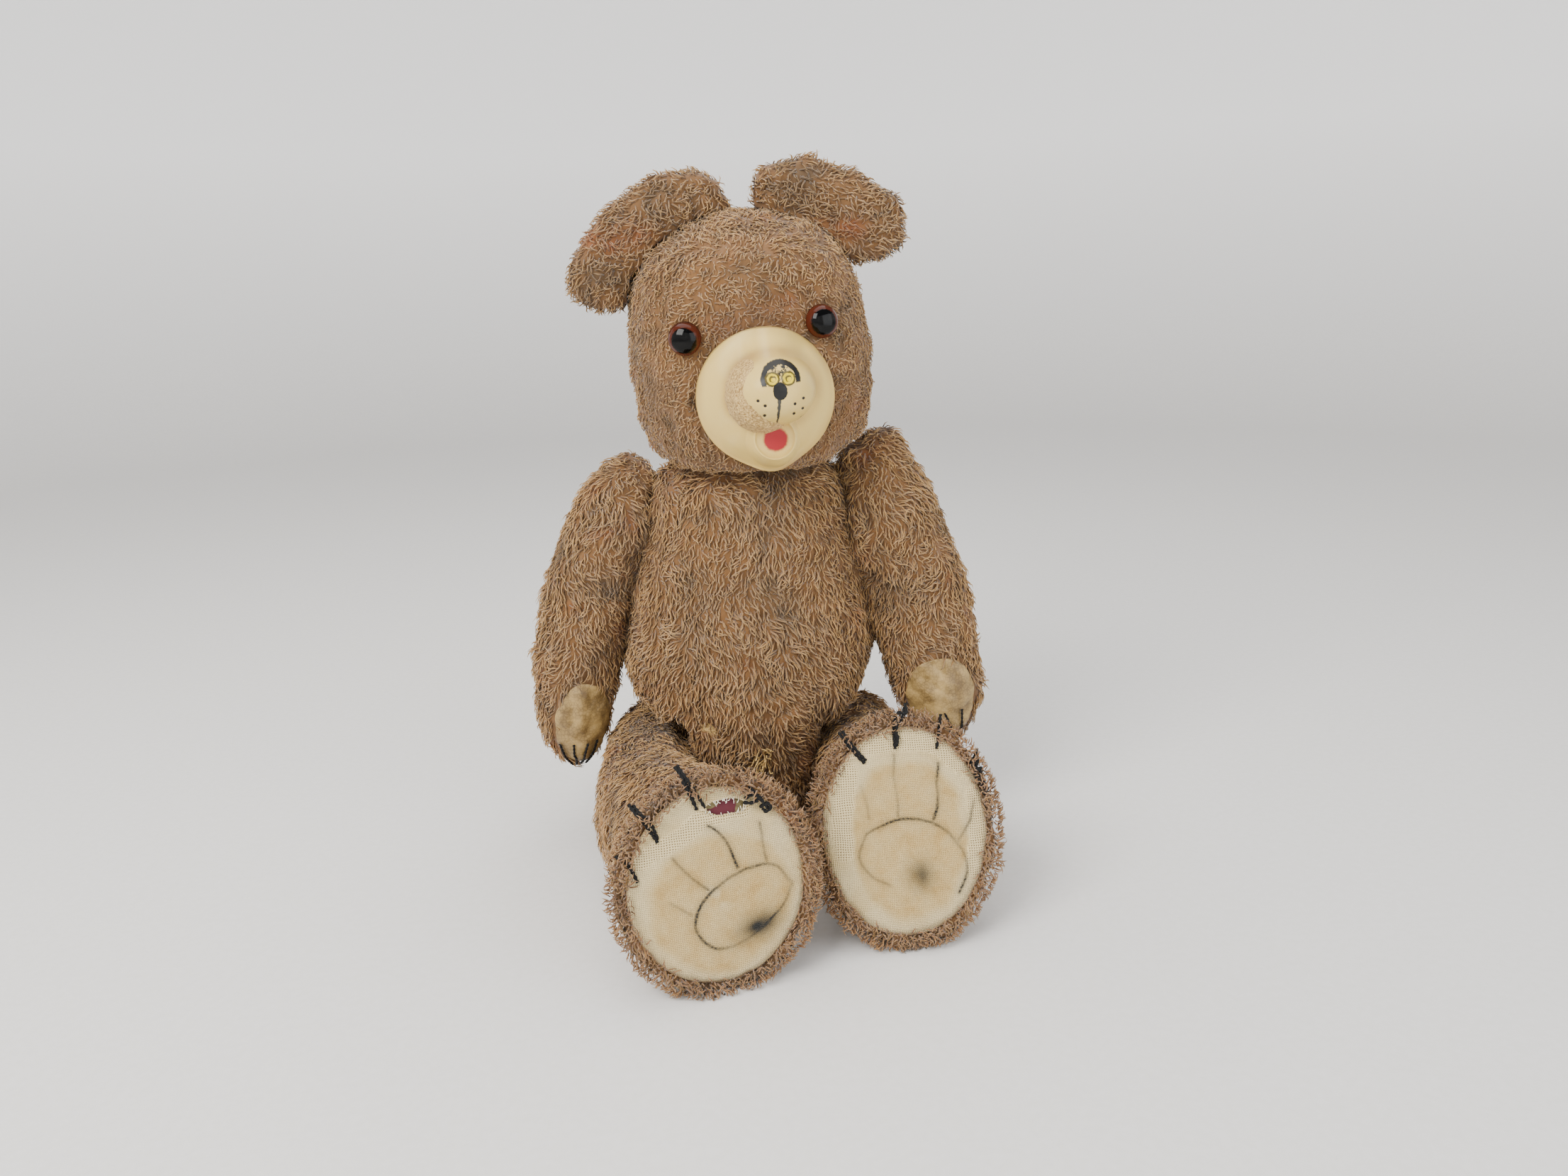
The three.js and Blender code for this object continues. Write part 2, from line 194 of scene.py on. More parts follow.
def drift(places, size, seed):
    # A slow random vector over the surface; size is the width of its waves in millimetres
    shift = Vector((seed * 13.7, seed * 5.1, seed * 9.3))
    scaled = [Vector(p) / (size * mm) + shift for p in places]
    return np.array([noise.noise_vector(p) for p in scaled])


# Camera and studio

cameraPlan = {"at": (16, -540, 260), "lens": 27.03, "down": 15, "roll": 1.9}


def addCamera(plan):
    down, roll = math.radians(plan["down"]), math.radians(plan["roll"])
    ahead = Vector((0, math.cos(down), -math.sin(down)))
    level, lifted = Vector((1, 0, 0)), Vector((0, math.sin(down), math.cos(down)))
    right = level * math.cos(roll) - lifted * math.sin(roll)
    above = level * math.sin(roll) + lifted * math.cos(roll)
    data = bpy.data.cameras.new("camera")
    data.lens = plan["lens"]
    camera = bpy.data.objects.new("camera", data)
    turn = Matrix((right, above, -ahead)).transposed().to_4x4()
    camera.matrix_world = Matrix.Translation(Vector(plan["at"]) * mm) @ turn
    scene.collection.objects.link(camera)
    scene.camera = camera


studioPlan = {
    "floor": "#e8e6e2",
    "wide": 1500,
    "rise": 1500,
    "bend": 500,
    "glow": 0.55,
    "key": {"at": (-620, -820, 980), "size": 700, "power": 21, "colour": (1.0, 0.975, 0.94)},
    "fill": {"at": (760, -700, 420), "size": 900, "power": 5.5, "colour": (0.93, 0.96, 1.0)},
    "top": {"at": (-60, 120, 1050), "size": 900, "power": 7, "colour": (1.0, 0.99, 0.97)},
    "sky": 0.34,
}


def addStudio(plan):
    # Matt painted board: a pale floor that sweeps up into a backdrop
    material, tree, shader = newMaterial("pale painted board", Roughness=0.85)
    coords = addNode(tree, "ShaderNodeTexCoord")
    grain = addNode(tree, "ShaderNodeTexNoise", {"Vector": coords.outputs["Object"], "Scale": 300.0})
    stops = [(0.35, plan["floor"]), (0.65, "#ebe9e6")]
    colour = addNode(tree, "ShaderNodeValToRGB", {0: grain.outputs[0]}, stops=stops)
    tree.links.new(colour.outputs[0], shader.inputs["Base Color"])
    # The board curves up all round, and its upper part glows: painted light given off by the board itself, growing
    # with height
    spot = addNode(tree, "ShaderNodeSeparateXYZ", {0: coords.outputs["Object"]})
    lit = addNode(tree, "ShaderNodeMapRange", {0: spot.outputs[2], 1: 0.0, 2: 0.5, 3: 0.0, 4: plan["glow"]})
    shader.inputs["Emission Color"].default_value = (0.97, 0.975, 1, 1)
    tree.links.new(lit.outputs[0], shader.inputs["Emission Strength"])
    outline = [(plan["wide"] * step / 6, 0) for step in range(1, 7)]
    for step in range(1, 13):
        angle = math.pi / 2 * step / 12
        out = plan["wide"] + plan["bend"] * math.sin(angle)
        outline.append((out, plan["bend"] * (1 - math.cos(angle))))
    outline.append((plan["wide"] + plan["bend"], plan["rise"]))
    around = 96
    places, faces = [(0, 0, 0)], []
    for radius, z in outline:
        for step in range(around):
            turn = 2 * math.pi * step / around
            places.append((radius * math.cos(turn) * mm, radius * math.sin(turn) * mm, z * mm))
    for step in range(around):
        after = (step + 1) % around
        faces.append((0, 1 + step, 1 + after))
        for row in range(len(outline) - 1):
            start = 1 + row * around
            faces.append((start + step, start + around + step, start + around + after, start + after))
    sweep = newPiece("studio_sweep", meshFrom("studio_sweep", places, faces), material)
    for name in ("key", "fill", "top"):
        lamp = plan[name]
        data = bpy.data.lights.new(name, "AREA")
        data.energy = lamp["power"]
        data.size = lamp["size"] * mm
        data.color = lamp["colour"]
        light = bpy.data.objects.new(name, data)
        light.location = Vector(lamp["at"]) * mm
        aim = Vector((0, -40, 150)) * mm - light.location
        light.rotation_euler = aim.to_track_quat("-Z", "Y").to_euler()
        scene.collection.objects.link(light)
    world = bpy.data.worlds.new("studio")
    world.use_nodes = True
    world.node_tree.nodes["Background"].inputs[0].default_value = (0.86, 0.88, 0.93, 1)
    world.node_tree.nodes["Background"].inputs[1].default_value = plan["sky"]
    scene.world = world


addCamera(cameraPlan)
addStudio(studioPlan)
print("camera and studio made")


# Plush: a woven backing with a matted pile

plushPlan = {
    # The tip colour is a painted highlight of the pile and the root colour a painted shade
    "tip": "#c59e65",
    "middle": "#a07748",
    "root": "#704c27",
    "grime": "#54432f",
    "rust": "#8e4f27",
    "backing": "#7c5935",
    "fibre": 0.25,  # width of one fibre of the pile
}


def plushMaterial(name, plan, pile):
    # Brushed rayon pile, matted and greasy: rough, with a soft sheen, darker roots as painted shade and lighter
    # tips as painted highlight
    material, tree, shader = newMaterial(name, Roughness=0.82, Sheen_Weight=0.3, Sheen_Roughness=0.5)
    shader.inputs["Specular IOR Level"].default_value = 0.25
    coords = addNode(tree, "ShaderNodeTexCoord")
    place = coords.outputs["Object"]
    soil = addNode(tree, "ShaderNodeAttribute", attribute_name="soil").outputs["Fac"]
    rust = addNode(tree, "ShaderNodeAttribute", attribute_name="rust").outputs["Fac"]
    patches = addNode(tree, "ShaderNodeTexNoise", {"Vector": place, "Scale": 55.0, "Detail": 4.0}).outputs[0]
    if pile:
        along = addNode(tree, "ShaderNodeAttribute", attribute_name="along").outputs["Fac"]
        tone = addNode(tree, "ShaderNodeAttribute", attribute_name="tone").outputs["Fac"]
        strand = addNode(tree, "ShaderNodeAttribute", attribute_name="strand").outputs["Vector"]
        stops = [(0.0, plan["root"]), (0.36, plan["middle"]), (1.0, plan["tip"])]
        hair = addNode(tree, "ShaderNodeTexNoise", {"Vector": strand, "Scale": 1.6, "Detail": 3.0}).outputs[0]
        # Each lock is darker at its root as painted shade and lighter at its tip as painted highlight, and no two
        # are quite alike
        run = addNode(tree, "ShaderNodeMath", {0: hair, 1: 0.5, 2: along}, operation="MULTIPLY_ADD").outputs[0]
        own = addNode(tree, "ShaderNodeMath", {0: tone, 1: 0.34, 2: run}, operation="MULTIPLY_ADD").outputs[0]
        shade = addNode(tree, "ShaderNodeMath", {0: own, 1: 0.3}, operation="SUBTRACT").outputs[0]
    else:
        stretched = addNode(tree, "ShaderNodeMapping", {"Vector": place, "Scale": (1.0, 1.0, 0.3)})
        scale = 0.3 / (plan["fibre"] * mm)
        shade = addNode(tree, "ShaderNodeTexNoise", {"Vector": stretched.outputs[0], "Scale": scale}).outputs[0]
        hair = shade
        stops = [(0.2, plan["root"]), (0.8, plan["backing"])]
    colour = addNode(tree, "ShaderNodeValToRGB", {0: shade}, stops=stops).outputs[0]
    uneven = addNode(tree, "ShaderNodeMapRange", {0: patches, 1: 0.3, 2: 0.7, 3: 0.84, 4: 1.1}).outputs[0]
    colour = addNode(tree, "ShaderNodeVectorMath", {0: colour, 3: uneven}, operation="SCALE").outputs[0]
    cloudy = addNode(tree, "ShaderNodeMapRange", {0: patches, 1: 0.35, 2: 0.6, 3: 0.35, 4: 0.85}).outputs[0]
    # Dirt and painted shade together: the pile darkens where soiled, and as painted shade in its hollows, creases
    # and close under other pieces
    dirt = addNode(tree, "ShaderNodeMath", {0: soil, 1: cloudy}, operation="MULTIPLY").outputs[0]
    colour = coat(tree, colour, plan["grime"], dirt)
    stained = addNode(tree, "ShaderNodeMath", {0: rust, 1: 0.75}, operation="MULTIPLY").outputs[0]
    colour = coat(tree, colour, plan["rust"], stained)
    tree.links.new(colour, shader.inputs["Base Color"])
    relief = addNode(tree, "ShaderNodeBump", {"Height": hair, "Strength": 0.5, "Distance": 0.15 * mm})
    tree.links.new(relief.outputs[0], shader.inputs["Normal"])
    return material


pileMaterial = plushMaterial("matted rayon pile", plushPlan, True)
backingMaterial = plushMaterial("worn plush backing", plushPlan, False)


# Hides: each stuffed piece is its CAD form, remeshed, puffed by a short cloth run and smoothed

hidePlan = {
    "voxel": 3.6,
    "sink": 0.9,  # below the outside of the pile
    "pressure": 4,
    "frames": 20,
    "swell": 1.2,  # the most that a point may move
    "plug": 3.4,
}


def largestIsland(mesh):
    bm = bmesh.new()
    bm.from_mesh(mesh)
    seen, islands = set(), []
    for start in bm.verts:
        if start in seen:
            continue
        group, edge = {start}, [start]
        while edge:
            vertex = edge.pop()
            for link in vertex.link_edges:
                other = link.other_vert(vertex)
                if other not in group:
                    group.add(other)
                    edge.append(other)
        seen |= group
        islands.append(group)
    keep = max(islands, key=len)
    bmesh.ops.delete(bm, geom=[v for v in bm.verts if v not in keep], context="VERTS")
    bm.to_mesh(mesh)
    bm.free()


def puff(piece, plan):
    start = placesOf(piece.data)
    cloth = piece.modifiers.new("stuffing", "CLOTH")
    cloth.settings.use_pressure = True
    cloth.settings.uniform_pressure_force = plan["pressure"]
    cloth.settings.effector_weights.gravity = 0
    for step in range(1, plan["frames"] + 1):
        scene.frame_set(step)
    bake(piece)
    scene.frame_set(1)
    moved = placesOf(piece.data) - start
    length = np.linalg.norm(moved, axis=1, keepdims=True)
    limit = plan["swell"] * mm
    setPlaces(piece.data, start + moved * np.minimum(1, limit / np.maximum(length, 1e-9)))


def makeHide(name, nodes, plugs, plan, shape=None, smooth=6):
    bm = bmesh.new()
    for node in nodes:
        bm.from_mesh(frame["nodes"][node].data)
    for place in plugs:
        bmesh.ops.create_icosphere(bm, subdivisions=3, radius=plan["plug"] * mm, matrix=place)
    bmesh.ops.remove_doubles(bm, verts=bm.verts, dist=1e-6)
    mesh = bpy.data.meshes.new(name)
    bm.to_mesh(mesh)
    bm.free()
    hide = newPiece(name, mesh, backingMaterial)
    remesh = hide.modifiers.new("even", "REMESH")
    remesh.mode = "VOXEL"
    remesh.voxel_size = plan["voxel"] * mm
    bake(hide)
    largestIsland(hide.data)
    relax = hide.modifiers.new("relax", "SMOOTH")
    relax.iterations = smooth
    relax.factor = 0.5
    sink = hide.modifiers.new("sink", "DISPLACE")
    sink.mid_level = 0
    sink.strength = -plan["sink"] * mm
    bake(hide)
    puff(hide, plan)
    if shape:
        places = placesOf(hide.data)
        setPlaces(hide.data, shape(places, normalsOf(hide.data)))
    round_ = hide.modifiers.new("round", "SUBSURF")
    round_.levels = 1
    round_.render_levels = 1
    bake(hide)
    hide.data.shade_smooth()
    return hide


# Pile: wavy tapering locks scattered over each hide, lying along its comb direction

pilePlan = {
    "locks": 5,
    "length": 6.2,
    "width": 0.86,
    "thick": 0.56,
    "floor": 0.4,  # no lock reaches lower than this above the floor
}


def lockMesh(name, seed, plan):
    # A three-sided wavy lock from its root at the origin, rising and then curling along +X
    rings = 3 if seed < 2 else 2
    draw = np.random.default_rng(seed + 40)
    sway, phase, waves = draw.uniform(0.5, 1.1), draw.uniform(0, 6.28), draw.uniform(4, 7)
    curl = draw.uniform(-0.5, 0.25)

    def spine(share):
        side = sway * (math.sin(phase + share * waves) - math.sin(phase)) * share
        rise = 0.95 * math.sin(share * 2.6) + curl * share ** 3 + 0.25 * math.cos(phase + share * waves) * share
        return share * plan["length"] * (1 - 0.12 * share), side, rise

    places, along, strand = [], [], []
    for ring in range(rings):
        share = ring / rings
        half = 1 - 0.4 * share
        x, side, rise = spine(share)
        for corner in range(3):
            angle = math.radians(90 + 120 * corner)
            places.append((x, side + half * plan["width"] / 2 * math.cos(angle) * 1.15,
                           rise + half * plan["thick"] / 2 * math.sin(angle)))
            along.append(share)
            strand.append((corner * 2.3 + seed, share * 1.6, seed * 3.1))
    places.append(spine(1))
    along.append(1)
    strand.append((seed, 1.6, seed * 3.1))
    faces = [(2, 1, 0)]
    for ring in range(rings - 1):
        for corner in range(3):
            a, b = 3 * ring + corner, 3 * ring + (corner + 1) % 3
            faces.append((a, b, b + 3, a + 3))
    last = 3 * (rings - 1)
    faces += [(last + corner, last + (corner + 1) % 3, last + 3) for corner in range(3)]
    mesh = meshFrom(name, np.array(places) * mm, faces)
    mesh.shade_smooth()
    store(mesh, "along", along)
    store(mesh, "strand", strand, "FLOAT_VECTOR")
    return mesh


def lockCollection(plan):
    collection = bpy.data.collections.new("pile locks")
    for seed in range(plan["locks"]):
        mesh = lockMesh(f"lock_{seed}", seed, plan)
        collection.objects.link(bpy.data.objects.new(f"lock_{seed}", mesh))
    return collection


def pileTree(collection):
    tree = bpy.data.node_groups.new("pile", "GeometryNodeTree")
    sockets = tree.interface
    sockets.new_socket("Geometry", in_out="INPUT", socket_type="NodeSocketGeometry")
    for name, value in (("Gap", 0.002), ("Seed", 1), ("Length", 1.0), ("Lift", 0.25), ("Stray", 0.6)):
        kind = "NodeSocketInt" if name == "Seed" else "NodeSocketFloat"
        sockets.new_socket(name, in_out="INPUT", socket_type=kind).default_value = value
    sockets.new_socket("Material", in_out="INPUT", socket_type="NodeSocketMaterial")
    sockets.new_socket("Geometry", in_out="OUTPUT", socket_type="NodeSocketGeometry")
    source = addNode(tree, "NodeGroupInput").outputs
    cover = addNode(tree, "GeometryNodeInputNamedAttribute", {0: "cover"}).outputs[0]
    points = addNode(tree, "GeometryNodeDistributePointsOnFaces", {
        "Mesh": source["Geometry"], "Distance Min": source["Gap"], "Density Max": 900000.0,
        "Density Factor": cover, "Seed": source["Seed"]}, distribute_method="POISSON")
    comb = addNode(tree, "GeometryNodeInputNamedAttribute", {0: "comb"}, data_type="FLOAT_VECTOR")
    pile = addNode(tree, "GeometryNodeInputNamedAttribute", {0: "pile"}).outputs[0]
    upright = addNode(tree, "FunctionNodeAlignRotationToVector",
                      {"Vector": points.outputs["Normal"]}, axis="Z", pivot_axis="AUTO")
    combed = addNode(tree, "FunctionNodeAlignRotationToVector",
                     {"Rotation": upright.outputs[0], "Vector": comb.outputs[0]}, axis="X", pivot_axis="Z")
    spread = addNode(tree, "ShaderNodeMath", {0: source["Stray"], 1: -1.0}, operation="MULTIPLY").outputs[0]
    twist = addNode(tree, "FunctionNodeRandomValue", {
        2: spread, 3: source["Stray"], "Seed": 11}, data_type="FLOAT").outputs[1]
    lowest = addNode(tree, "ShaderNodeMath", {0: 0.12, 1: source["Lift"]}, operation="SUBTRACT").outputs[0]
    highest = addNode(tree, "ShaderNodeMath", {0: source["Lift"], 1: -1.6}, operation="MULTIPLY").outputs[0]
    tilt = addNode(tree, "FunctionNodeRandomValue", {
        2: highest, 3: lowest, "Seed": 12}, data_type="FLOAT").outputs[1]
    lean = addNode(tree, "FunctionNodeRandomValue", {2: -0.5, 3: 0.5, "Seed": 13}).outputs[1]
    own = addNode(tree, "ShaderNodeCombineXYZ", {0: lean, 1: tilt, 2: twist}).outputs[0]
    ownTurn = addNode(tree, "FunctionNodeEulerToRotation", {0: own}).outputs[0]
    turned = addNode(tree, "FunctionNodeRotateRotation",
                     {0: combed.outputs[0], 1: ownTurn}, rotation_space="LOCAL")
    size = addNode(tree, "FunctionNodeRandomValue", {2: 0.72, 3: 1.25, "Seed": 14}).outputs[1]
    length = addNode(tree, "ShaderNodeMath", {0: size, 1: source["Length"]}, operation="MULTIPLY").outputs[0]
    length = addNode(tree, "ShaderNodeMath", {0: length, 1: pile}, operation="MULTIPLY").outputs[0]
    fatness = addNode(tree, "ShaderNodeMath", {0: length, 1: 0.45}, operation="POWER").outputs[0]
    scale = addNode(tree, "ShaderNodeCombineXYZ", {0: length, 1: fatness, 2: fatness}).outputs[0]
    locks = addNode(tree, "GeometryNodeCollectionInfo",
                    {"Separate Children": True, "Reset Children": True})
    locks.inputs["Collection"].default_value = collection
    pick = addNode(tree, "FunctionNodeRandomValue", {4: 0, 5: pilePlan["locks"] - 1, "Seed": 15}, data_type="INT")
    placed = addNode(tree, "GeometryNodeInstanceOnPoints", {
        "Points": points.outputs["Points"], "Instance": locks.outputs[0], "Pick Instance": True,
        "Instance Index": pick.outputs[2], "Rotation": turned.outputs[0], "Scale": scale})
    shade = addNode(tree, "FunctionNodeRandomValue", {2: 0.0, 3: 1.0, "Seed": 16}).outputs[1]
    toned = addNode(tree, "GeometryNodeStoreNamedAttribute", {
        "Geometry": placed.outputs[0], "Name": "tone", "Value": shade}, domain="INSTANCE")
    real = addNode(tree, "GeometryNodeRealizeInstances", {0: toned.outputs[0]})
    finished = addNode(tree, "GeometryNodeSetMaterial", {0: real.outputs[0], 2: source["Material"]})
    addNode(tree, "NodeGroupOutput", {0: finished.outputs[0]})
    return tree


locksMade = lockCollection(pilePlan)
pileGroup = pileTree(locksMade)


def growPile(hide, name, plan, gap, seed, length=1.0, lift=0.25, stray=0.6):
    pile = newPiece(name, hide.data.copy())
    grow = pile.modifiers.new("pile", "NODES")
    grow.node_group = pileGroup
    values = {"Gap": gap * mm, "Seed": seed, "Length": length, "Lift": lift, "Stray": stray,
              "Material": pileMaterial}
    for item in pileGroup.interface.items_tree:
        if item.in_out == "INPUT" and item.name in values:
            grow[item.identifier] = values[item.name]
    bake(pile)
    places = placesOf(pile.data)
    places[:, 2] = np.maximum(places[:, 2], plan["floor"] * mm)
    setPlaces(pile.data, places)
    dropAttributes(pile.data, "comb", "cover", "pile")
    pile.data.calc_loop_triangles()
    print(name, len(pile.data.loop_triangles), "triangles")
    return pile


def treeOf(nodes):
    places, faces = [], []
    for node in nodes:
        mesh = frame["nodes"][node].data
        start = len(places)
        places += [v.co.copy() for v in mesh.vertices]
        faces += [[start + i for i in p.vertices] for p in mesh.polygons]
    return BVHTree.FromPolygons(places, faces) if faces else None


def clearOf(places, normals, trees, reach):
    # 0 where another piece is close in front of the hide, 1 where it is free
    free = np.ones(len(places))
    for tree in trees:
        for i, (p, n) in enumerate(zip(places, normals)):
            hit = tree.ray_cast(Vector(p), Vector(n), reach * mm)
            near = tree.find_nearest(Vector(p), reach * mm)
            if hit[0] is not None:
                free[i] = min(free[i], hit[3] / (reach * mm))
            if near[0] is not None:
                free[i] = min(free[i], near[3] / (reach * mm))
    return free


def meet(hide, normals, free, reach):
    # Stuffed pieces bulge against their neighbours, so the joint between them closes up
    setPlaces(hide.data, placesOf(hide.data) + normals * (ramp(free, 0.75, 0.2) * reach * mm)[:, None])


def dress(hide, comb, cover, pile, soil, rust, seed=0):
    # The pile stands in tufts: a slight relief of the backing, with painted shade darkening its hollows
    mesh = hide.data
    places, normals = placesOf(mesh), normalsOf(mesh)
    tufts = drift(places, 5.5, seed + 90)[:, 0] + 0.5 * drift(places, 11, seed + 91)[:, 0]
    setPlaces(mesh, places + normals * (tufts * 1.3 * mm)[:, None])
    # Painted shade in the hollows between tufts
    soil = soil + 0.55 * ramp(tufts, 0.0, -0.45)
    comb = comb + drift(places, 5.5, seed + 92) * 0.5
    flat = comb - normals * np.sum(comb * normals, axis=1, keepdims=True)
    store(mesh, "comb", unit(flat), "FLOAT_VECTOR")
    store(mesh, "cover", cover)
    store(mesh, "pile", pile)
    store(mesh, "soil", np.clip(soil, 0, 1))
    store(mesh, "rust", np.clip(rust, 0, 1))


# What each stuffed piece needs: where its neighbours are, and its comb, cover, dirt and painted shade

def nearLine(places, start, end):
    start, end = np.array(start, float), np.array(end, float)
    run = end - start
    share = np.clip(((places / mm - start) @ run) / (run @ run), 0, 1)
    return np.linalg.norm(places / mm - start - share[:, None] * run, axis=1), share


def pressLine(places, normals, line):
    away, share = nearLine(places, line["from"], line["to"])
    depth = np.exp(-(away / line["wide"]) ** 2) * (0.35 + 0.65 * np.sin(np.pi * (0.15 + 0.7 * share)))
    return places - normals * (depth * line["deep"] * mm)[:, None]


def lumps(places, normals, size, height, seed):
    return places + normals * (drift(places, size, seed)[:, 0] * height * mm)[:, None]


def jointPlugs(body):
    # Where a pin's hole in the skin is stopped before the remesh
    plugs = []
    for joint in frame["joints"]:
        if body in (joint["parent"], joint["child"]):
            at, axis = Vector(joint["pos_m"]), Vector(joint["axis"])
            out = at - middleOf(f"{joint['child']}") if body == joint["child"] else middleOf(body) - at
            axis = axis if axis.dot(out) > 0 else -axis
            inside = -axis if body == joint["child"] else axis
            face = 1.2 * mm if body == joint["child"] else 0
            plugs.append(Matrix.Translation(at + inside * (face + hidePlan["plug"] * mm)))
    return plugs


def middleOf(body):
    skin = body.replace("_", "_skin_") if "_" in body else f"{body}_skin"
    low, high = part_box(skin)
    return (low + high) / 2


def finishHide(hide, name, body, replaced, plan, seed):
    fit(hide, body, "worn_plush", *replaced)
    pile = growPile(hide, name, pilePlan, plan["gap"], seed, plan["length"], plan["lift"], plan["stray"])
    fit(pile, body, "worn_plush")


# Torso

torsoPlan = {
    "strands": 16,
    "gap": 1.34, "length": 1.05, "lift": 0.12, "stray": 0.6,
    "fold": {"from": (24, -52, 106), "to": (60, -34, 79), "wide": 5.2, "deep": 13},
    "swell": {"at": (44, -46, 68), "radii": (26, 22, 12), "out": 3.5},
    "crease": {"from": (-62, -40, 66), "to": (-14, -56, 60), "wide": 5.2, "deep": 10},
    "seam": {"from": (6, -56, 76), "to": (5, -50, 30), "wide": 2.2, "deep": 3},
    "hole": {"at": (4, -54, 51), "radii": (4, 10, 6), "deep": 3},
}


def shapeTorso(places, normals):
    for name in ("fold", "crease", "seam"):
        places = pressLine(places, normals, torsoPlan[name])
    swell = torsoPlan["swell"]
    places = places + normals * (bump(places, swell["at"], swell["radii"]) * swell["out"] * mm)[:, None]
    hole = torsoPlan["hole"]
    places = places - normals * (bump(places, hole["at"], hole["radii"]) * hole["deep"] * mm)[:, None]
    places = lumps(places, normals, 26, 1.4, 1)
    places[:, 2] = np.maximum(places[:, 2], 0.3 * mm)
    return places


def addTorso(plan):
    nodes = ["torso_skin", "torso_stuffing"]
    hide = makeHide("torso_hide", nodes, jointPlugs("torso"), hidePlan, shapeTorso)
    places, normals = placesOf(hide.data), normalsOf(hide.data)
    others = [treeOf([f"arm_skin_{s}", f"leg_skin_{s}"]) for s in sides] + [treeOf(["head_skin"])]
    free = clearOf(places, normals, others, 7)
    meet(hide, normals, free, 2.4)
    x, y, z = (places / mm).T
    comb = np.zeros_like(places)
    comb[:, 2] = -1
    comb[:, 0] = 0.35 * np.sign(x) * ramp(z, 110, 60) - 0.5 * ramp(-x, 20, 50) * ramp(z, 120, 80)
    comb += drift(places, 17, 2) * 1.3 + drift(places, 7, 3) * 0.7
    hole = bump(places, plan["hole"]["at"], plan["hole"]["radii"])
    cover = ramp(free, -0.05, 0.12) * (1 - 0.3 * ramp(y, 0, 25)) * (z > 1.2) * (hole < 0.6)
    pile = (0.75 + 0.35 * ramp(free, 0.3, 0.9)) * (0.9 + 0.4 * drift(places, 20, 4)[:, 0])
    dirt = drift(places, 30, 5)[:, 0] + 0.35 * bump(places, (30, -48, 110), (30, 30, 40))
    # Painted shade where another piece lies close in front, and darker at the top under the head; the drifting
    # patches are dirt
    soil = ramp(dirt, 0.05, 0.7) * 0.7 + 0.5 * ramp(z, 172, 184) + ramp(free, 0.8, 0.2) * 0.5
    # Painted shade along the fold, crease and seam, where the pile is also shorter
    for name in ("fold", "crease", "seam"):
        away, _ = nearLine(places, plan[name]["from"], plan[name]["to"])
        soil += 1.3 * np.exp(-(away / 3.4) ** 2)
        pile *= 1 - 0.6 * np.exp(-(away / 4) ** 2)
        cover = cover * (1 - 0.7 * np.exp(-(away / 2.2) ** 2))
    rust = 0.6 * bump(places, (-34, -36, 174), (22, 30, 8)) + 0.4 * ramp(drift(places, 14, 6)[:, 0], 0.4, 0.8)
    dress(hide, comb, cover, pile, soil, rust)
    finishHide(hide, "torso_pile", "torso", ["torso_skin"], plan, 1)
    print("torso made")


def addWoolStrands(plan):
    # A few strands of wood wool push out through a small tear under the belly
    draw = np.random.default_rng(5)
    at = np.array(plan["hole"]["at"], float)
    routes = []
    for _ in range(plan["strands"]):
        start = at + draw.uniform((-2.5, 3, -4), (2.5, 5, 4))
        lean = draw.uniform((-5, -6, -9), (5, -2, 6))
        bend = draw.uniform(-2.5, 2.5, 3)
        routes.append((start, start + lean * 0.45 + bend * 0.6, start + lean * 0.8 + bend, start + lean * 1.15))
    strands = layYarn("torso_wool_strands", routes, 0.36, woolMaterial, 0.5)
    fit(strands, "torso", "wood_wool")


# Head

headTurn = Matrix.Rotation(math.radians(5), 4, "Z") @ Matrix.Rotation(math.radians(-5), 4, "Y")
headPlace = Matrix.Translation(Vector((4, -11, 231)) * mm) @ headTurn
maskAt = (-0.5, -28, -18)  # the muzzle's own origin, in the head
headPlan = {
    "gap": 1.16, "length": 0.62, "lift": 0.13, "stray": 1.1, "fill": 0.85,
    "maskPlug": (30, 12, 32),
    "eyes": {"left": (28, -43, 7), "right": (-28, -43, 7)},
    "browDip": {"at": (10, -50, 17), "radii": (22, 12, 5), "deep": 3.2},
}


def inHead(places):
    # Places in the head's own frame, in metres
    turn = np.array(headPlace.inverted())
    return places @ turn[:3, :3].T + turn[:3, 3]


def outOfHead(places):
    turn = np.array(headPlace)
    return np.asarray(places) @ turn[:3, :3].T + turn[:3, 3]


def shapeHead(places, normals):
    own = inHead(places)
    dip = headPlan["browDip"]
    depth = bump(own, dip["at"], dip["radii"]) * dip["deep"]
    for at in headPlan["eyes"].values():
        depth = depth - bump(own, (at[0], at[1] - 3, at[2] - 9), (10, 10, 5)) * 1.2
    places = places - normals * (depth * mm)[:, None]
    return lumps(places, normals, 22, 1.2, 7)


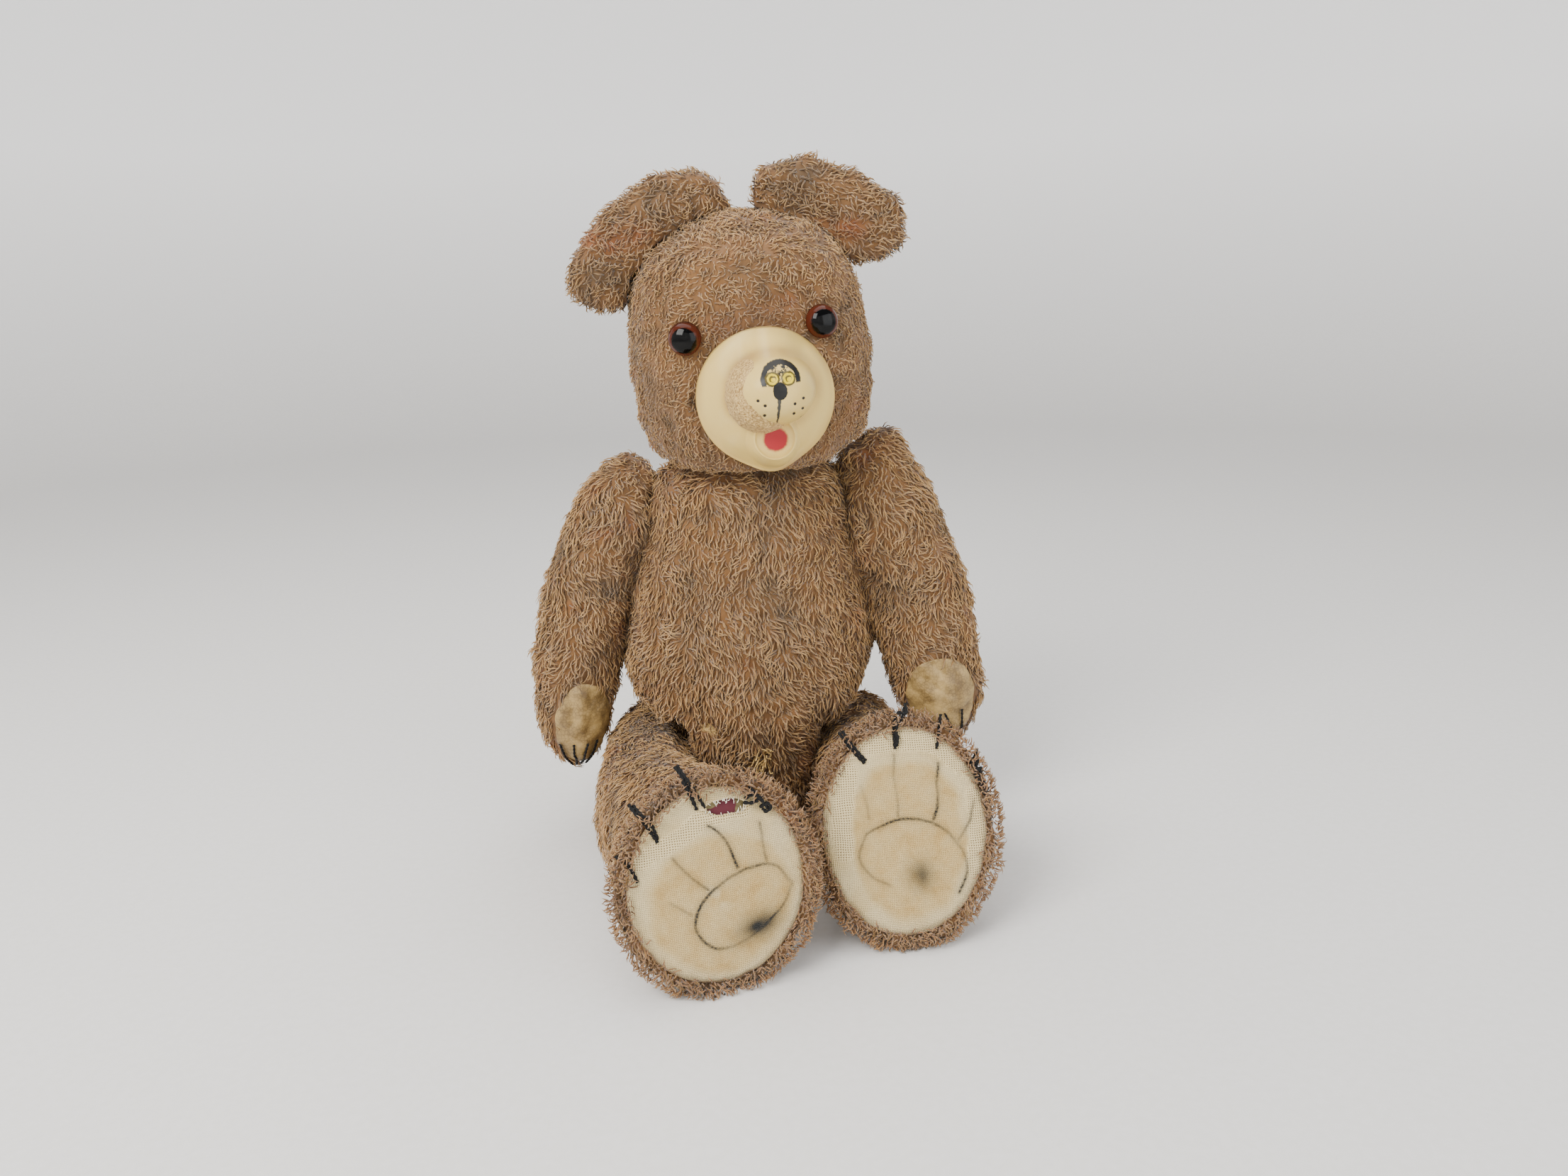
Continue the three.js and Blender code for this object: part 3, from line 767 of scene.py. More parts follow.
def addHead(plan):
    plug = headPlace @ Matrix.Translation(Vector(maskAt) * mm)
    plug = plug @ Matrix.Diagonal([s / hidePlan["plug"] for s in plan["maskPlug"]] + [1])
    plugs = jointPlugs("head") + [plug]
    hide = makeHide("head_hide", ["head_skin", "head_stuffing"], plugs, hidePlan, shapeHead)
    places, normals = placesOf(hide.data), normalsOf(hide.data)
    others = [treeOf(["torso_skin"]), treeOf(["arm_skin_left", "arm_skin_right"])]
    free = clearOf(places, normals, others, 6)
    meet(hide, normals, free, 2.4)
    ears = clearOf(places, normals, [treeOf(["ear_left", "ear_right"])], 6)
    x, y, z = (inHead(places) / mm).T
    u, w = x - maskAt[0] - 2.2, z - maskAt[2] + 2.5
    rim = np.hypot(u, w)
    away = np.stack([u, 0 * u, w], axis=1) / np.maximum(rim, 1)[:, None]
    comb = np.zeros_like(places)
    comb[:, 2] = -1
    comb += away * (0.9 * ramp(rim, 52, 30) * (y < 0))[:, None]
    comb += drift(places, 13, 8) * 1.7 + drift(places, 6, 9) * 0.9
    comb[:, 2] += 1.5 * ramp(z, 25, 45) * (y < 10)
    cover = ramp(free, -0.05, 0.12) * (1 - 0.3 * ramp(y, 5, 30))
    cover *= ~((rim < 27.5) & (y < -15))
    for at in plan["eyes"].values():
        cover = cover * (np.linalg.norm(inHead(places) / mm - np.array(at), axis=1) > 6.7)
    pile = 0.85 + 0.3 * ramp(z, 10, 40) + 0.35 * drift(places, 16, 10)[:, 0]
    pile *= 0.75 + 0.25 * ramp(free, 0.2, 0.8)
    brow = bump(inHead(places), (12, -50, 15), (26, 14, 8)) + bump(inHead(places), (-14, -48, 10), (14, 14, 6))
    cheek = bump(inHead(places), (-42, -30, -25), (14, 20, 16))
    dirt = drift(places, 26, 11)[:, 0]
    # Painted shade in the brow's crease, under the ears and close to the torso and arms; darker round the muzzle's
    # rim; the cheek and drifting patches are dirt
    soil = ramp(dirt, 0.1, 0.8) * 0.6 + 0.95 * brow + 0.5 * cheek + 0.4 * ramp(free, 0.7, 0.2)
    soil += 0.9 * ramp(ears, 0.9, 0.2) + 0.5 * ramp(rim, 33, 28) * (y < -15)
    rust = 0.3 * brow + 0.35 * ramp(drift(places, 12, 12)[:, 0], 0.4, 0.8)
    dress(hide, comb, cover, pile, soil, rust)
    finishHide(hide, "head_pile", "head", ["head_skin"], plan, 2)
    print("head made")


# Ears: flat stuffed flaps, folded forwards and flopping sideways

earPlan = {
    "join": 11,  # how near the head an ear's edge is drawn in and sewn down
    "gap": 1.18, "length": 0.82, "lift": 0.2, "stray": 1.1, "fill": 0.3,
    "left": {"fold": {"from": (22, -12, 60), "to": (66, -14, 36), "wide": 3.4, "deep": 8},
             "rust": (45, -10, 42), "rustSize": (12, 20, 8)},
    "right": {"fold": {"from": (-20, -12, 70), "to": (-62, -14, 38), "wide": 3.4, "deep": 7},
              "rust": (-52, -8, 50), "rustSize": (20, 20, 8)},
}


def addEar(side, plan, seed):
    fold = dict(plan[side]["fold"])
    for end in ("from", "to"):
        fold[end] = tuple(outOfHead(np.array([fold[end]]) * mm)[0] / mm)

    def shapeEar(places, normals):
        return lumps(pressLine(places, normals, fold), normals, 15, 1.6, seed)

    small = dict(hidePlan, voxel=2.6, sink=0.9, swell=1.0)
    hide = makeHide(f"ear_hide_{side}", [f"ear_{side}"], [], small, shapeEar, smooth=3)
    places = placesOf(hide.data)
    skull = treeOf(["head_skin"])
    for i, place in enumerate(places):
        near, _, _, away = skull.find_nearest(Vector(place))
        if away < plan["join"] * mm:
            places[i] += (np.array(near) - place) * float(ramp(away / mm, plan["join"], 2)) * 1.1
    setPlaces(hide.data, places)
    own = inHead(places)
    sign = sides[side]
    away, _ = nearLine(places, fold["from"], fold["to"])
    comb = np.stack([np.full(len(places), sign * 0.8), 0 * away, np.full(len(places), -0.7)], axis=1)
    comb += drift(places, 10, seed + 1) * 1.8 + drift(places, 5, seed + 2) * 0.9
    cover = np.ones(len(places))
    pile = 0.95 + 0.4 * drift(places, 12, seed + 3)[:, 0]
    # Painted shade along the fold's crease; the drifting patches are dirt
    soil = 0.25 + 0.8 * np.exp(-(away / 5) ** 2) + 0.7 * ramp(drift(places, 16, seed + 4)[:, 0], 0.0, 0.6)
    rust = 1.1 * bump(own, plan[side]["rust"], plan[side]["rustSize"])
    rust *= 0.4 + 0.8 * ramp(drift(places, 8, seed + 5)[:, 0], -0.2, 0.4)
    dress(hide, comb, cover, pile, soil, rust)
    finishHide(hide, f"ear_pile_{side}", "head", [f"ear_{side}"], plan, seed)


# Arms and legs

armPlan = {"gap": 1.3, "length": 1.0, "lift": 0.12, "stray": 0.65, "fill": 0.7}
legPlan = {"gap": 1.36, "length": 1.0, "lift": 0.13, "stray": 0.75, "fill": 0.75}


def addArm(side, plan, seed):
    body = f"arm_{side}"
    sign = sides[side]

    def shapeArm(places, normals):
        return lumps(places, normals, 24, 1.3, seed)

    nodes = [f"arm_skin_{side}", f"arm_stuffing_{side}", f"hand_pad_{side}"]
    hide = makeHide(f"arm_hide_{side}", nodes, jointPlugs(body), hidePlan, shapeArm)
    places, normals = placesOf(hide.data), normalsOf(hide.data)
    others = [treeOf(["torso_skin"]), treeOf(["head_skin"]), treeOf([f"leg_skin_{side}"])]
    free = clearOf(places, normals, others, 6)
    meet(hide, normals, free, 2.4)
    palm = clearOf(places, normals, [treeOf([f"hand_pad_{side}"])], 4)
    x, y, z = (places / mm).T
    comb = np.zeros_like(places)
    comb[:, 2] = -1
    comb[:, 0] = sign * 0.5 * ramp(z, 140, 175)
    comb += drift(places, 15, seed + 1) * 1.2 + drift(places, 7, seed + 2) * 0.8
    cover = ramp(free, -0.05, 0.12) * (palm > 0.93) * (1 - 0.3 * ramp(y, 8, 25))
    pile = (0.8 + 0.3 * ramp(free, 0.2, 0.8)) * (0.95 + 0.4 * drift(places, 18, seed + 3)[:, 0])
    # Painted shade where another piece lies close in front; darker towards the paw
    dirt = drift(places, 24, seed + 4)[:, 0] + 0.3 * ramp(z, 60, 30)
    soil = ramp(dirt, 0.05, 0.7) * 0.75 + ramp(free, 0.8, 0.2) * 0.5
    rust = 0.6 * ramp(drift(places, 13, seed + 5)[:, 0], 0.35, 0.8)
    dress(hide, comb, cover, pile, soil, rust)
    finishHide(hide, f"arm_pile_{side}", body, [f"arm_skin_{side}"], plan, seed)
    addPalm(side, palmPlan, hide, seed + 6)
    addHandClaws(side, clawPlan, hide)


def addFringe(side, body, sole, plan, seed):
    # Frayed curls of pile standing all round the sole's seam
    outline = outlineOf(f"foot_pad_{side}", sole, 160)
    places, faces, comb = [], [], []
    outward = unit(outline)
    for share, lift, lean in plan["rows"]:
        flat = outline + outward * share
        places.append(offSole(np.column_stack([flat, np.full(len(flat), lift)]), sole))
        out = np.outer(outward[:, 0], sole[1]) + np.outer(outward[:, 1], sole[2])
        comb.append(out * lean[0] + np.outer(np.full(len(flat), lean[1]), sole[3]))
    count = len(outline)
    for row in range(len(places) - 1):
        for i in range(count):
            j = (i + 1) % count
            faces.append((row * count + i, (row + 1) * count + i, (row + 1) * count + j, row * count + j))
    places = np.vstack(places) * mm
    places[:, 2] = np.maximum(places[:, 2], 1.5 * mm)
    strip = newPiece(f"sole_strip_{side}", meshFrom(f"sole_strip_{side}", places, faces), backingMaterial)
    comb = np.vstack(comb) + drift(places, 5, seed) * 1.6
    ones = np.ones(len(places))
    dirt = 0.35 + 0.5 * ramp(drift(places, 12, seed + 1)[:, 0], -0.1, 0.5)
    dress(strip, comb, ones, 0.85 + 0.45 * drift(places, 9, seed + 2)[:, 0], dirt, 0.3 * ones)
    fringe = growPile(strip, f"sole_fringe_{side}", pilePlan, plan["gap"], seed, plan["length"],
                      plan["lift"], plan["stray"])
    fit(fringe, body, "worn_plush")
    bpy.data.objects.remove(strip)


def addLeg(side, plan, seed):
    body = f"leg_{side}"
    sole = soleFrame(side)
    rim = plan["rim"][side]

    def shapeLeg(places, normals):
        across, up, out = onSole(places, sole)
        share = np.hypot(across / rim[0], up / rim[1])
        lip = np.exp(-(out / 9) ** 2) * ramp(share, 0.72, 0.9)
        outward = unit(np.outer(across, sole[1]) + np.outer(up, sole[2]))
        grow = np.clip(1.0 - share, 0, 0.12) * np.array(rim).mean()
        places = places + outward * (lip * grow * mm)[:, None]
        places = lumps(places, normals, 20, 1.4, seed)
        across, up, out = onSole(places, sole)
        share = np.hypot(across / rim[0], up / rim[1])
        # Under the sole's cloth the plush stops well back
        over = np.maximum(out + 3.5, 0) * ramp(share, 0.96, 0.88)
        places = places - np.outer(over, sole[3]) * mm
        places[:, 2] = np.maximum(places[:, 2], 0.3 * mm)
        return places

    nodes = [f"leg_skin_{side}", f"leg_stuffing_{side}", f"foot_pad_{side}", f"sole_card_{side}"]
    hide = makeHide(f"leg_hide_{side}", nodes, jointPlugs(body), hidePlan, shapeLeg)
    places, normals = placesOf(hide.data), normalsOf(hide.data)
    other = "right" if side == "left" else "left"
    blockers = [treeOf(["torso_skin"]), treeOf([f"leg_skin_{other}"]), treeOf([f"arm_skin_{side}"])]
    free = clearOf(places, normals, blockers, 6)
    meet(hide, normals, free, 2.4)
    x, y, z = (places / mm).T
    across, up, out = onSole(places, sole)
    share = np.hypot(across / rim[0], up / rim[1])
    atSole = (share < 0.86) & (out > -9)
    fringe = np.exp(-((out + 3) / 6) ** 2) * ramp(share, 0.85, 1.0)
    comb = np.zeros_like(places)
    comb[:, 1] = -0.7
    comb[:, 2] = -0.8
    outward = np.outer(across, sole[1]) + np.outer(up, sole[2])
    comb += unit(outward) * (fringe * 0.3)[:, None] + np.outer(fringe, sole[3]) * 1.2
    comb += drift(places, 14, seed + 1) * 1.3 + drift(places, 6, seed + 2) * (0.8 + 1.5 * fringe)[:, None]
    cover = ramp(free, -0.05, 0.12) * (z > 1.5) * ~atSole * (1 - 0.3 * ramp(y, -20, 10) * (z < 25))
    pile = (0.75 + 0.35 * ramp(free, 0.2, 0.8)) * (0.95 + 0.4 * drift(places, 18, seed + 3)[:, 0])
    pile *= 1 - 0.25 * fringe
    # Darker near the floor and at the sole's seam; painted shade where another piece lies close in front
    dirt = drift(places, 24, seed + 4)[:, 0] + 0.5 * ramp(z, 14, 4)
    soil = ramp(dirt, 0.05, 0.7) * 0.75 + ramp(free, 0.8, 0.2) * 0.6 + 0.35 * fringe
    rust = 0.6 * ramp(drift(places, 13, seed + 5)[:, 0], 0.35, 0.8)
    dress(hide, comb, cover, pile, soil, rust)
    finishHide(hide, f"leg_pile_{side}", body, [f"leg_skin_{side}"], plan, seed)
    addFringe(side, body, sole, plan["fringe"], seed + 5)


# Routes, rings and painted marks that several pieces share

def smoothRoute(points, steps=8):
    # A rounded path through a few points
    points = np.asarray(points, float)
    ends = np.vstack([2 * points[0] - points[1], points, 2 * points[-1] - points[-2]])
    found = []
    for i in range(len(points) - 1):
        a, b, c, d = ends[i:i + 4]
        for t in np.linspace(0, 1, steps, endpoint=False):
            bend = (2 * a - 5 * b + 4 * c - d) * t * t + (3 * b - a - 3 * c + d) * t ** 3
            found.append(0.5 * (2 * b + (c - a) * t + bend))
    return np.array(found + [points[-1]])


def ringGrid(outline, shares):
    # Rings of one outline around a middle point: flat places, faces, and each point's share
    count = len(outline)
    flat = np.vstack([np.zeros((1, 2))] + [outline * share for share in shares])
    share = np.concatenate([[0]] + [np.full(count, s) for s in shares])
    faces = [(0, 1 + i, 1 + (i + 1) % count) for i in range(count)]
    for ring in range(len(shares) - 1):
        start = 1 + ring * count
        for i in range(count):
            j = (i + 1) % count
            faces.append((start + i, start + count + i, start + count + j, start + j))
    return flat, faces, share


def softMax(a, b, blend):
    share = np.clip(0.5 + 0.5 * (a - b) / blend, 0, 1)
    return b + (a - b) * share + blend * share * (1 - share)


def spotShare(tree, flat, at, radii, soft):
    # 1 inside an oval spot, falling to 0 past its edge; soft is a share of its size
    away = addNode(tree, "ShaderNodeVectorMath", {0: flat, 1: (*at, 0)}, operation="SUBTRACT")
    scaled = addNode(tree, "ShaderNodeVectorMath", {0: away.outputs[0], 1: (*radii, 1000)}, operation="DIVIDE")
    size = addNode(tree, "ShaderNodeVectorMath", {0: scaled.outputs[0]}, operation="LENGTH")
    span = {0: size.outputs["Value"], 1: 1 - soft, 2: 1 + soft, 3: 1.0, 4: 0.0}
    return addNode(tree, "ShaderNodeMapRange", span, interpolation_type="SMOOTHSTEP").outputs[0]


# Muzzle: one thin moulding, painted by hand

muzzlePlan = {
    "rim": {"at": (2.2, -2.5), "radii": (28.7, 28.6), "sink": 1.2},
    "chin": 2.5,
    "top": 27,
    "snout": {"at": (4.8, 1.2), "radii": (17.5, 14.8), "from": 22, "rise": 22},
    "bridge": {"at": (5.5, 4), "high": 41, "fall": 0.62, "wide": 8},
    "jaw": {"at": (2.8, -18), "radii": (11.6, 13.4), "from": 14, "rise": 19},
    "mouth": {"at": (3, -17.9), "radii": (8.2, 7.9), "deep": 7},
    "wall": 1.6,
    "skirt": 13,
    "steps": (300, 120),
    "cream": "#dabc6c", "grime": "#9a7540", "black": "#0c0b09", "chalk": "#3c3a34",
    "yellow": "#dcc010", "gold": "#564a10", "red": "#a01820", "seam": "#6b4526",
    "arch": {"at": (6.9, 6.3), "outer": (7.9, 7.6), "inner": (6.3, 6.0), "ends": 4.6},
    "nostrils": ((3.6, 7.1), (9.8, 6.6)),
    "drop": {"at": (6.0, 2.2), "radii": (2.8, 3.5)},
    "line": {"from": (5.3, -1.2), "to": (3.5, -12.7), "wide": 0.62},
    "tongue": {"at": (3.3, -18.5), "radii": (5.0, 4.7)},
    "pits": ((-2.9, -0.5), (-0.4, -2.7), (-7.4, -5.0), (-4.4, -7.5), (-0.9, -6.7),
             (15.0, -1.9), (11.3, -3.5), (14.5, -6.1), (10.7, -7.5), (14.4, -10.6)),
}


def muzzleMaterial(plan):
    # Moulded rubber, dulled and hand painted: the eye sees a waxy cream with glossy enamel marks
    material, tree, shader = newMaterial("aged cream rubber, hand painted", Roughness=0.42)
    shader.inputs["Specular IOR Level"].default_value = 0.42
    shader.inputs["Subsurface Weight"].default_value = 0.08
    shader.inputs["Subsurface Radius"].default_value = (0.004, 0.003, 0.002)
    coords = addNode(tree, "ShaderNodeTexCoord").outputs["Object"]
    flat = addNode(tree, "ShaderNodeAttribute", attribute_name="flat").outputs["Vector"]
    grime = addNode(tree, "ShaderNodeAttribute", attribute_name="grime").outputs["Fac"]
    parts = addNode(tree, "ShaderNodeSeparateXYZ", {0: flat}).outputs
    cloud = addNode(tree, "ShaderNodeTexNoise", {"Vector": coords, "Scale": 60.0, "Detail": 5.0}).outputs[0]
    fine = addNode(tree, "ShaderNodeTexNoise", {"Vector": coords, "Scale": 900.0, "Detail": 3.0}).outputs[0]
    uneven = addNode(tree, "ShaderNodeMapRange", {0: cloud, 1: 0.3, 2: 0.75, 3: 0.45, 4: 1.15}).outputs[0]
    # The grime mask is grime together with painted shade in the hollows round the snout
    dirt = addNode(tree, "ShaderNodeMath", {0: grime, 1: uneven}, operation="MULTIPLY", use_clamp=True)
    colour = coat(tree, linear(plan["cream"]), plan["grime"], dirt.outputs[0])
    pale = addNode(tree, "ShaderNodeMapRange", {0: cloud, 1: 0.55, 2: 0.8, 3: 0.0, 4: 0.35}).outputs[0]
    colour = coat(tree, colour, "#e8d6a0", pale)
    # Brush edges wander a little
    wander = addNode(tree, "ShaderNodeTexNoise", {"Vector": flat, "Scale": 0.9, "Detail": 4.0})
    centred = addNode(tree, "ShaderNodeVectorMath", {0: wander.outputs["Color"], 1: (0.5, 0.5, 0.5)},
                      operation="SUBTRACT")
    moved = addNode(tree, "ShaderNodeVectorMath", {0: centred.outputs[0], 3: 0.9}, operation="SCALE")
    brushed = addNode(tree, "ShaderNodeVectorMath", {0: flat, 1: moved.outputs[0]}, operation="ADD").outputs[0]
    tongue = spotShare(tree, brushed, plan["tongue"]["at"], plan["tongue"]["radii"], 0.14)
    colour = coat(tree, colour, plan["red"], tongue)
    colour = coat(tree, colour, plan["black"], spotShare(tree, brushed, (0.3, -14.3), (0.7, 0.45), 0.2))
    arch = plan["arch"]
    outer = spotShare(tree, brushed, arch["at"], arch["outer"], 0.03)
    # Where the paint has flaked the cream shows through, most on one side
    flakes = addNode(tree, "ShaderNodeTexNoise", {"Vector": flat, "Scale": 0.62, "Detail": 6.0, "Roughness": 0.75})
    inwards = addNode(tree, "ShaderNodeMapRange", {
        0: spotShare(tree, flat, arch["at"], arch["inner"], 0.10), 1: 0.0, 2: 1.0, 3: 0.0, 4: 0.42})
    chipped = addNode(tree, "ShaderNodeMath", {0: flakes.outputs[0], 1: inwards.outputs[0]}, operation="SUBTRACT")
    left = addNode(tree, "ShaderNodeMapRange", {0: chipped.outputs[0], 1: 0.085, 2: 0.105})
    above = addNode(tree, "ShaderNodeMapRange", {0: parts[1], 1: arch["ends"] - 0.3, 2: arch["ends"] + 0.3})
    ring = addNode(tree, "ShaderNodeMath", {0: outer, 1: left.outputs[0]}, operation="MULTIPLY")
    ring = addNode(tree, "ShaderNodeMath", {0: ring.outputs[0], 1: above.outputs[0]}, operation="MULTIPLY")
    colour = coat(tree, colour, plan["black"], ring.outputs[0])
    stroke = plan["line"]
    start, end = Vector(stroke["from"]), Vector(stroke["to"])
    run = end - start
    away = addNode(tree, "ShaderNodeVectorMath", {0: brushed, 1: (*start, 0)}, operation="SUBTRACT")
    along = addNode(tree, "ShaderNodeVectorMath", {
        0: away.outputs[0], 1: (run.x / run.length_squared, run.y / run.length_squared, 0)},
        operation="DOT_PRODUCT")
    across = addNode(tree, "ShaderNodeVectorMath", {
        0: away.outputs[0], 1: (-run.y / run.length, run.x / run.length, 0)}, operation="DOT_PRODUCT")
    aside = addNode(tree, "ShaderNodeMath", {0: across.outputs["Value"]}, operation="ABSOLUTE")
    taper = addNode(tree, "ShaderNodeMapRange", {
        0: along.outputs["Value"], 1: 0.0, 2: 1.0, 3: stroke["wide"] * 1.15, 4: stroke["wide"] * 0.35})
    inside = addNode(tree, "ShaderNodeMath", {0: taper.outputs[0], 1: aside.outputs[0]}, operation="SUBTRACT")
    inside = addNode(tree, "ShaderNodeMapRange", {0: inside.outputs[0], 1: -0.06, 2: 0.08})
    within = addNode(tree, "ShaderNodeMath", {0: along.outputs["Value"], 1: 0.5, 2: 0.53}, operation="COMPARE")
    inked = addNode(tree, "ShaderNodeMath", {0: inside.outputs[0], 1: within.outputs[0]}, operation="MULTIPLY")
    colour = coat(tree, colour, plan["chalk"], inked.outputs[0])
    for at in plan["nostrils"]:
        colour = coat(tree, colour, plan["gold"], spotShare(tree, brushed, at, (2.9, 2.75), 0.05))
        colour = coat(tree, colour, plan["yellow"], spotShare(tree, brushed, at, (2.2, 2.05), 0.1))
        colour = coat(tree, colour, plan["gold"], spotShare(tree, brushed, (at[0] + 0.1, at[1]), (1.35, 1.2), 0.15))
        colour = coat(tree, colour, plan["yellow"], spotShare(tree, brushed, (at[0] + 0.3, at[1] - 0.3),
                                                             (0.95, 0.8), 0.2))
    drop = spotShare(tree, brushed, plan["drop"]["at"], plan["drop"]["radii"], 0.05)
    colour = coat(tree, colour, plan["black"], drop)
    for at in plan["pits"]:
        colour = coat(tree, colour, "#1d150d", spotShare(tree, flat, at, (0.62, 0.62), 0.2))
    seam = addNode(tree, "ShaderNodeMapRange", {0: parts[2], 1: 0.98, 2: 1.04, 3: 0.0, 4: 0.85}).outputs[0]
    colour = coat(tree, colour, plan["seam"], seam)
    tree.links.new(colour, shader.inputs["Base Color"])
    rough = addNode(tree, "ShaderNodeMapRange", {0: cloud, 1: 0.3, 2: 0.7, 3: 0.36, 4: 0.5})
    tree.links.new(rough.outputs[0], shader.inputs["Roughness"])
    relief = addNode(tree, "ShaderNodeBump", {"Height": fine, "Strength": 0.15, "Distance": 0.1 * mm})
    tree.links.new(relief.outputs[0], shader.inputs["Normal"])
    return material


def muzzleHeight(u, w, rimHeight, share, plan):
    snout, jaw, mouth, bridge = (plan[key] for key in ("snout", "jaw", "mouth", "bridge"))
    flange = rimHeight + (plan["top"] - rimHeight) * np.sqrt(np.clip(1 - share ** 2, 0, 1))

    def oval(form):
        return np.hypot((u - form["at"][0]) / form["radii"][0], (w - form["at"][1]) / form["radii"][1])

    round_ = oval(snout)
    dome = snout["from"] + snout["rise"] * np.clip(1 - round_ ** 2.6, 0, 1) ** 0.55
    chin = jaw["from"] + jaw["rise"] * np.clip(1 - oval(jaw) ** 2.4, 0, 1) ** 0.5
    ridge = bridge["high"] - bridge["fall"] * (w - bridge["at"][1])
    ridge = ridge - ((u - bridge["at"][0]) / bridge["wide"]) ** 2 * 5
    height = softMax(flange, chin, 3)
    height = height - mouth["deep"] * np.clip(1 - oval(mouth) ** 2.2, 0, 1) ** 0.6
    height = softMax(height, np.where(w > 2, ridge, 0), 4)
    return softMax(height, np.where(round_ < 1, dome, 0), 2.6), round_


def addMuzzle(plan):
    around, rings = plan["steps"]
    rim = plan["rim"]
    turns = np.linspace(0, 2 * np.pi, around, endpoint=False)
    outline = np.stack([np.cos(turns) * rim["radii"][0], np.sin(turns) * rim["radii"][1]], axis=1)
    chin = np.exp(-((turns - 1.5 * np.pi) / 0.3) ** 2) * plan["chin"]
    outline *= (1 + chin / rim["radii"][0])[:, None]
    # The rim sits in the plush, so its height follows the head
    skin = treeOf(["head_skin"])
    back = headTurn.to_3x3() @ Vector((0, 1, 0))
    found = []
    for side, up in outline * 1.12:
        own = np.array([[maskAt[0] + rim["at"][0] + side, -120, maskAt[2] + rim["at"][1] + up]]) * mm
        hit = skin.ray_cast(Vector(outOfHead(own)[0]), back)[0]
        own = inHead(np.array([hit]))[0] / mm if hit is not None else (0, maskAt[1] - 13, 0)
        found.append(maskAt[1] - own[1] - rim["sink"])
    waves = np.fft.rfft(found)
    waves[6:] = 0
    seat = np.fft.irfft(waves, around)
    shares = 1 - (1 - np.linspace(0, 1, rings + 1)[1:]) ** 1.15
    flat, faces, share = ringGrid(outline, np.concatenate([shares, np.linspace(1.01, 1.1, 8)]))
    flat = flat * (np.minimum(share, 1) / np.maximum(share, 1e-9))[:, None]
    flat = flat * (1 + 0.25 * np.clip(share - 1, 0, None))[:, None]
    u, w = (flat + np.array(rim["at"])).T
    seats = np.concatenate([[seat.mean()], np.tile(seat, rings + 8)])
    height, round_ = muzzleHeight(u, w, seats, share, plan)
    # Behind its rim the moulding turns back into the plush
    skirt = np.clip(share - 1, 0, None)
    height = np.where(skirt > 0, seats - skirt * plan["skirt"] / 0.1, height)
    for at in plan["nostrils"]:
        away = np.hypot(u - at[0], w - at[1])
        height = height + 0.6 * np.exp(-((away - 2.0) / 0.7) ** 2) - 0.3 * np.exp(-(away / 1.0) ** 2)
    for at in plan["pits"]:
        height = height - 0.5 * np.exp(-(np.hypot(u - at[0], w - at[1]) / 0.7) ** 2)
    own = np.stack([maskAt[0] + u, maskAt[1] - height, maskAt[2] + w], axis=1) * mm
    mesh = meshFrom("muzzle_moulding", outOfHead(own), faces)
    store(mesh, "flat", np.stack([u, w, share], axis=1), "FLOAT_VECTOR")
    # Grime and painted shade: darker round the snout's base, most on the bear's right, along its edge, towards the
    # rim and under the chin
    base = np.exp(-((round_ - 1.08) / 0.13) ** 2) * (0.65 + 0.35 * ramp(-u, -8, 8))
    grime = 0.75 * base + 0.35 * np.exp(-((round_ - 0.93) / 0.1) ** 2) + 0.5 * ramp(share, 0.86, 1.0)
    grime += 0.3 * np.exp(-(np.hypot(u - 2, w + 29) / 6) ** 2)
    patches = drift(own, 14, 90)[:, 0]
    store(mesh, "grime", np.clip(grime * (0.8 + 0.8 * patches) + 0.12 * patches, 0, 1))
    piece = newPiece("muzzle_moulding", mesh, muzzleMaterial(plan))
    ease = piece.modifiers.new("ease", "SMOOTH")
    ease.iterations = 3
    wall = piece.modifiers.new("wall", "SOLIDIFY")
    wall.thickness = plan["wall"] * mm
    wall.offset = -1
    bake(piece)
    fit(piece, "head", "moulded_rubber", "muzzle")
    print("muzzle made")


# Eyes: domed glass buttons, painted behind

eyePlan = {
    "outline": ((0, 5.5), (1.6, 5.35), (3.4, 4.85), (4.9, 3.95), (6.0, 2.65), (6.65, 1.2), (6.9, 0),
                (6.6, -1.3), (5.6, -2.4), (0, -2.6)),
    "pupil": 4.9,
    "iris": "#4a2013", "edge": "#2a100a", "black": "#040404",
    "left": {"at": (28, -43, 7), "shift": (-0.9, -0.5)},
    "right": {"at": (-28, -43, 7), "shift": (0.7, -1.0)},
}


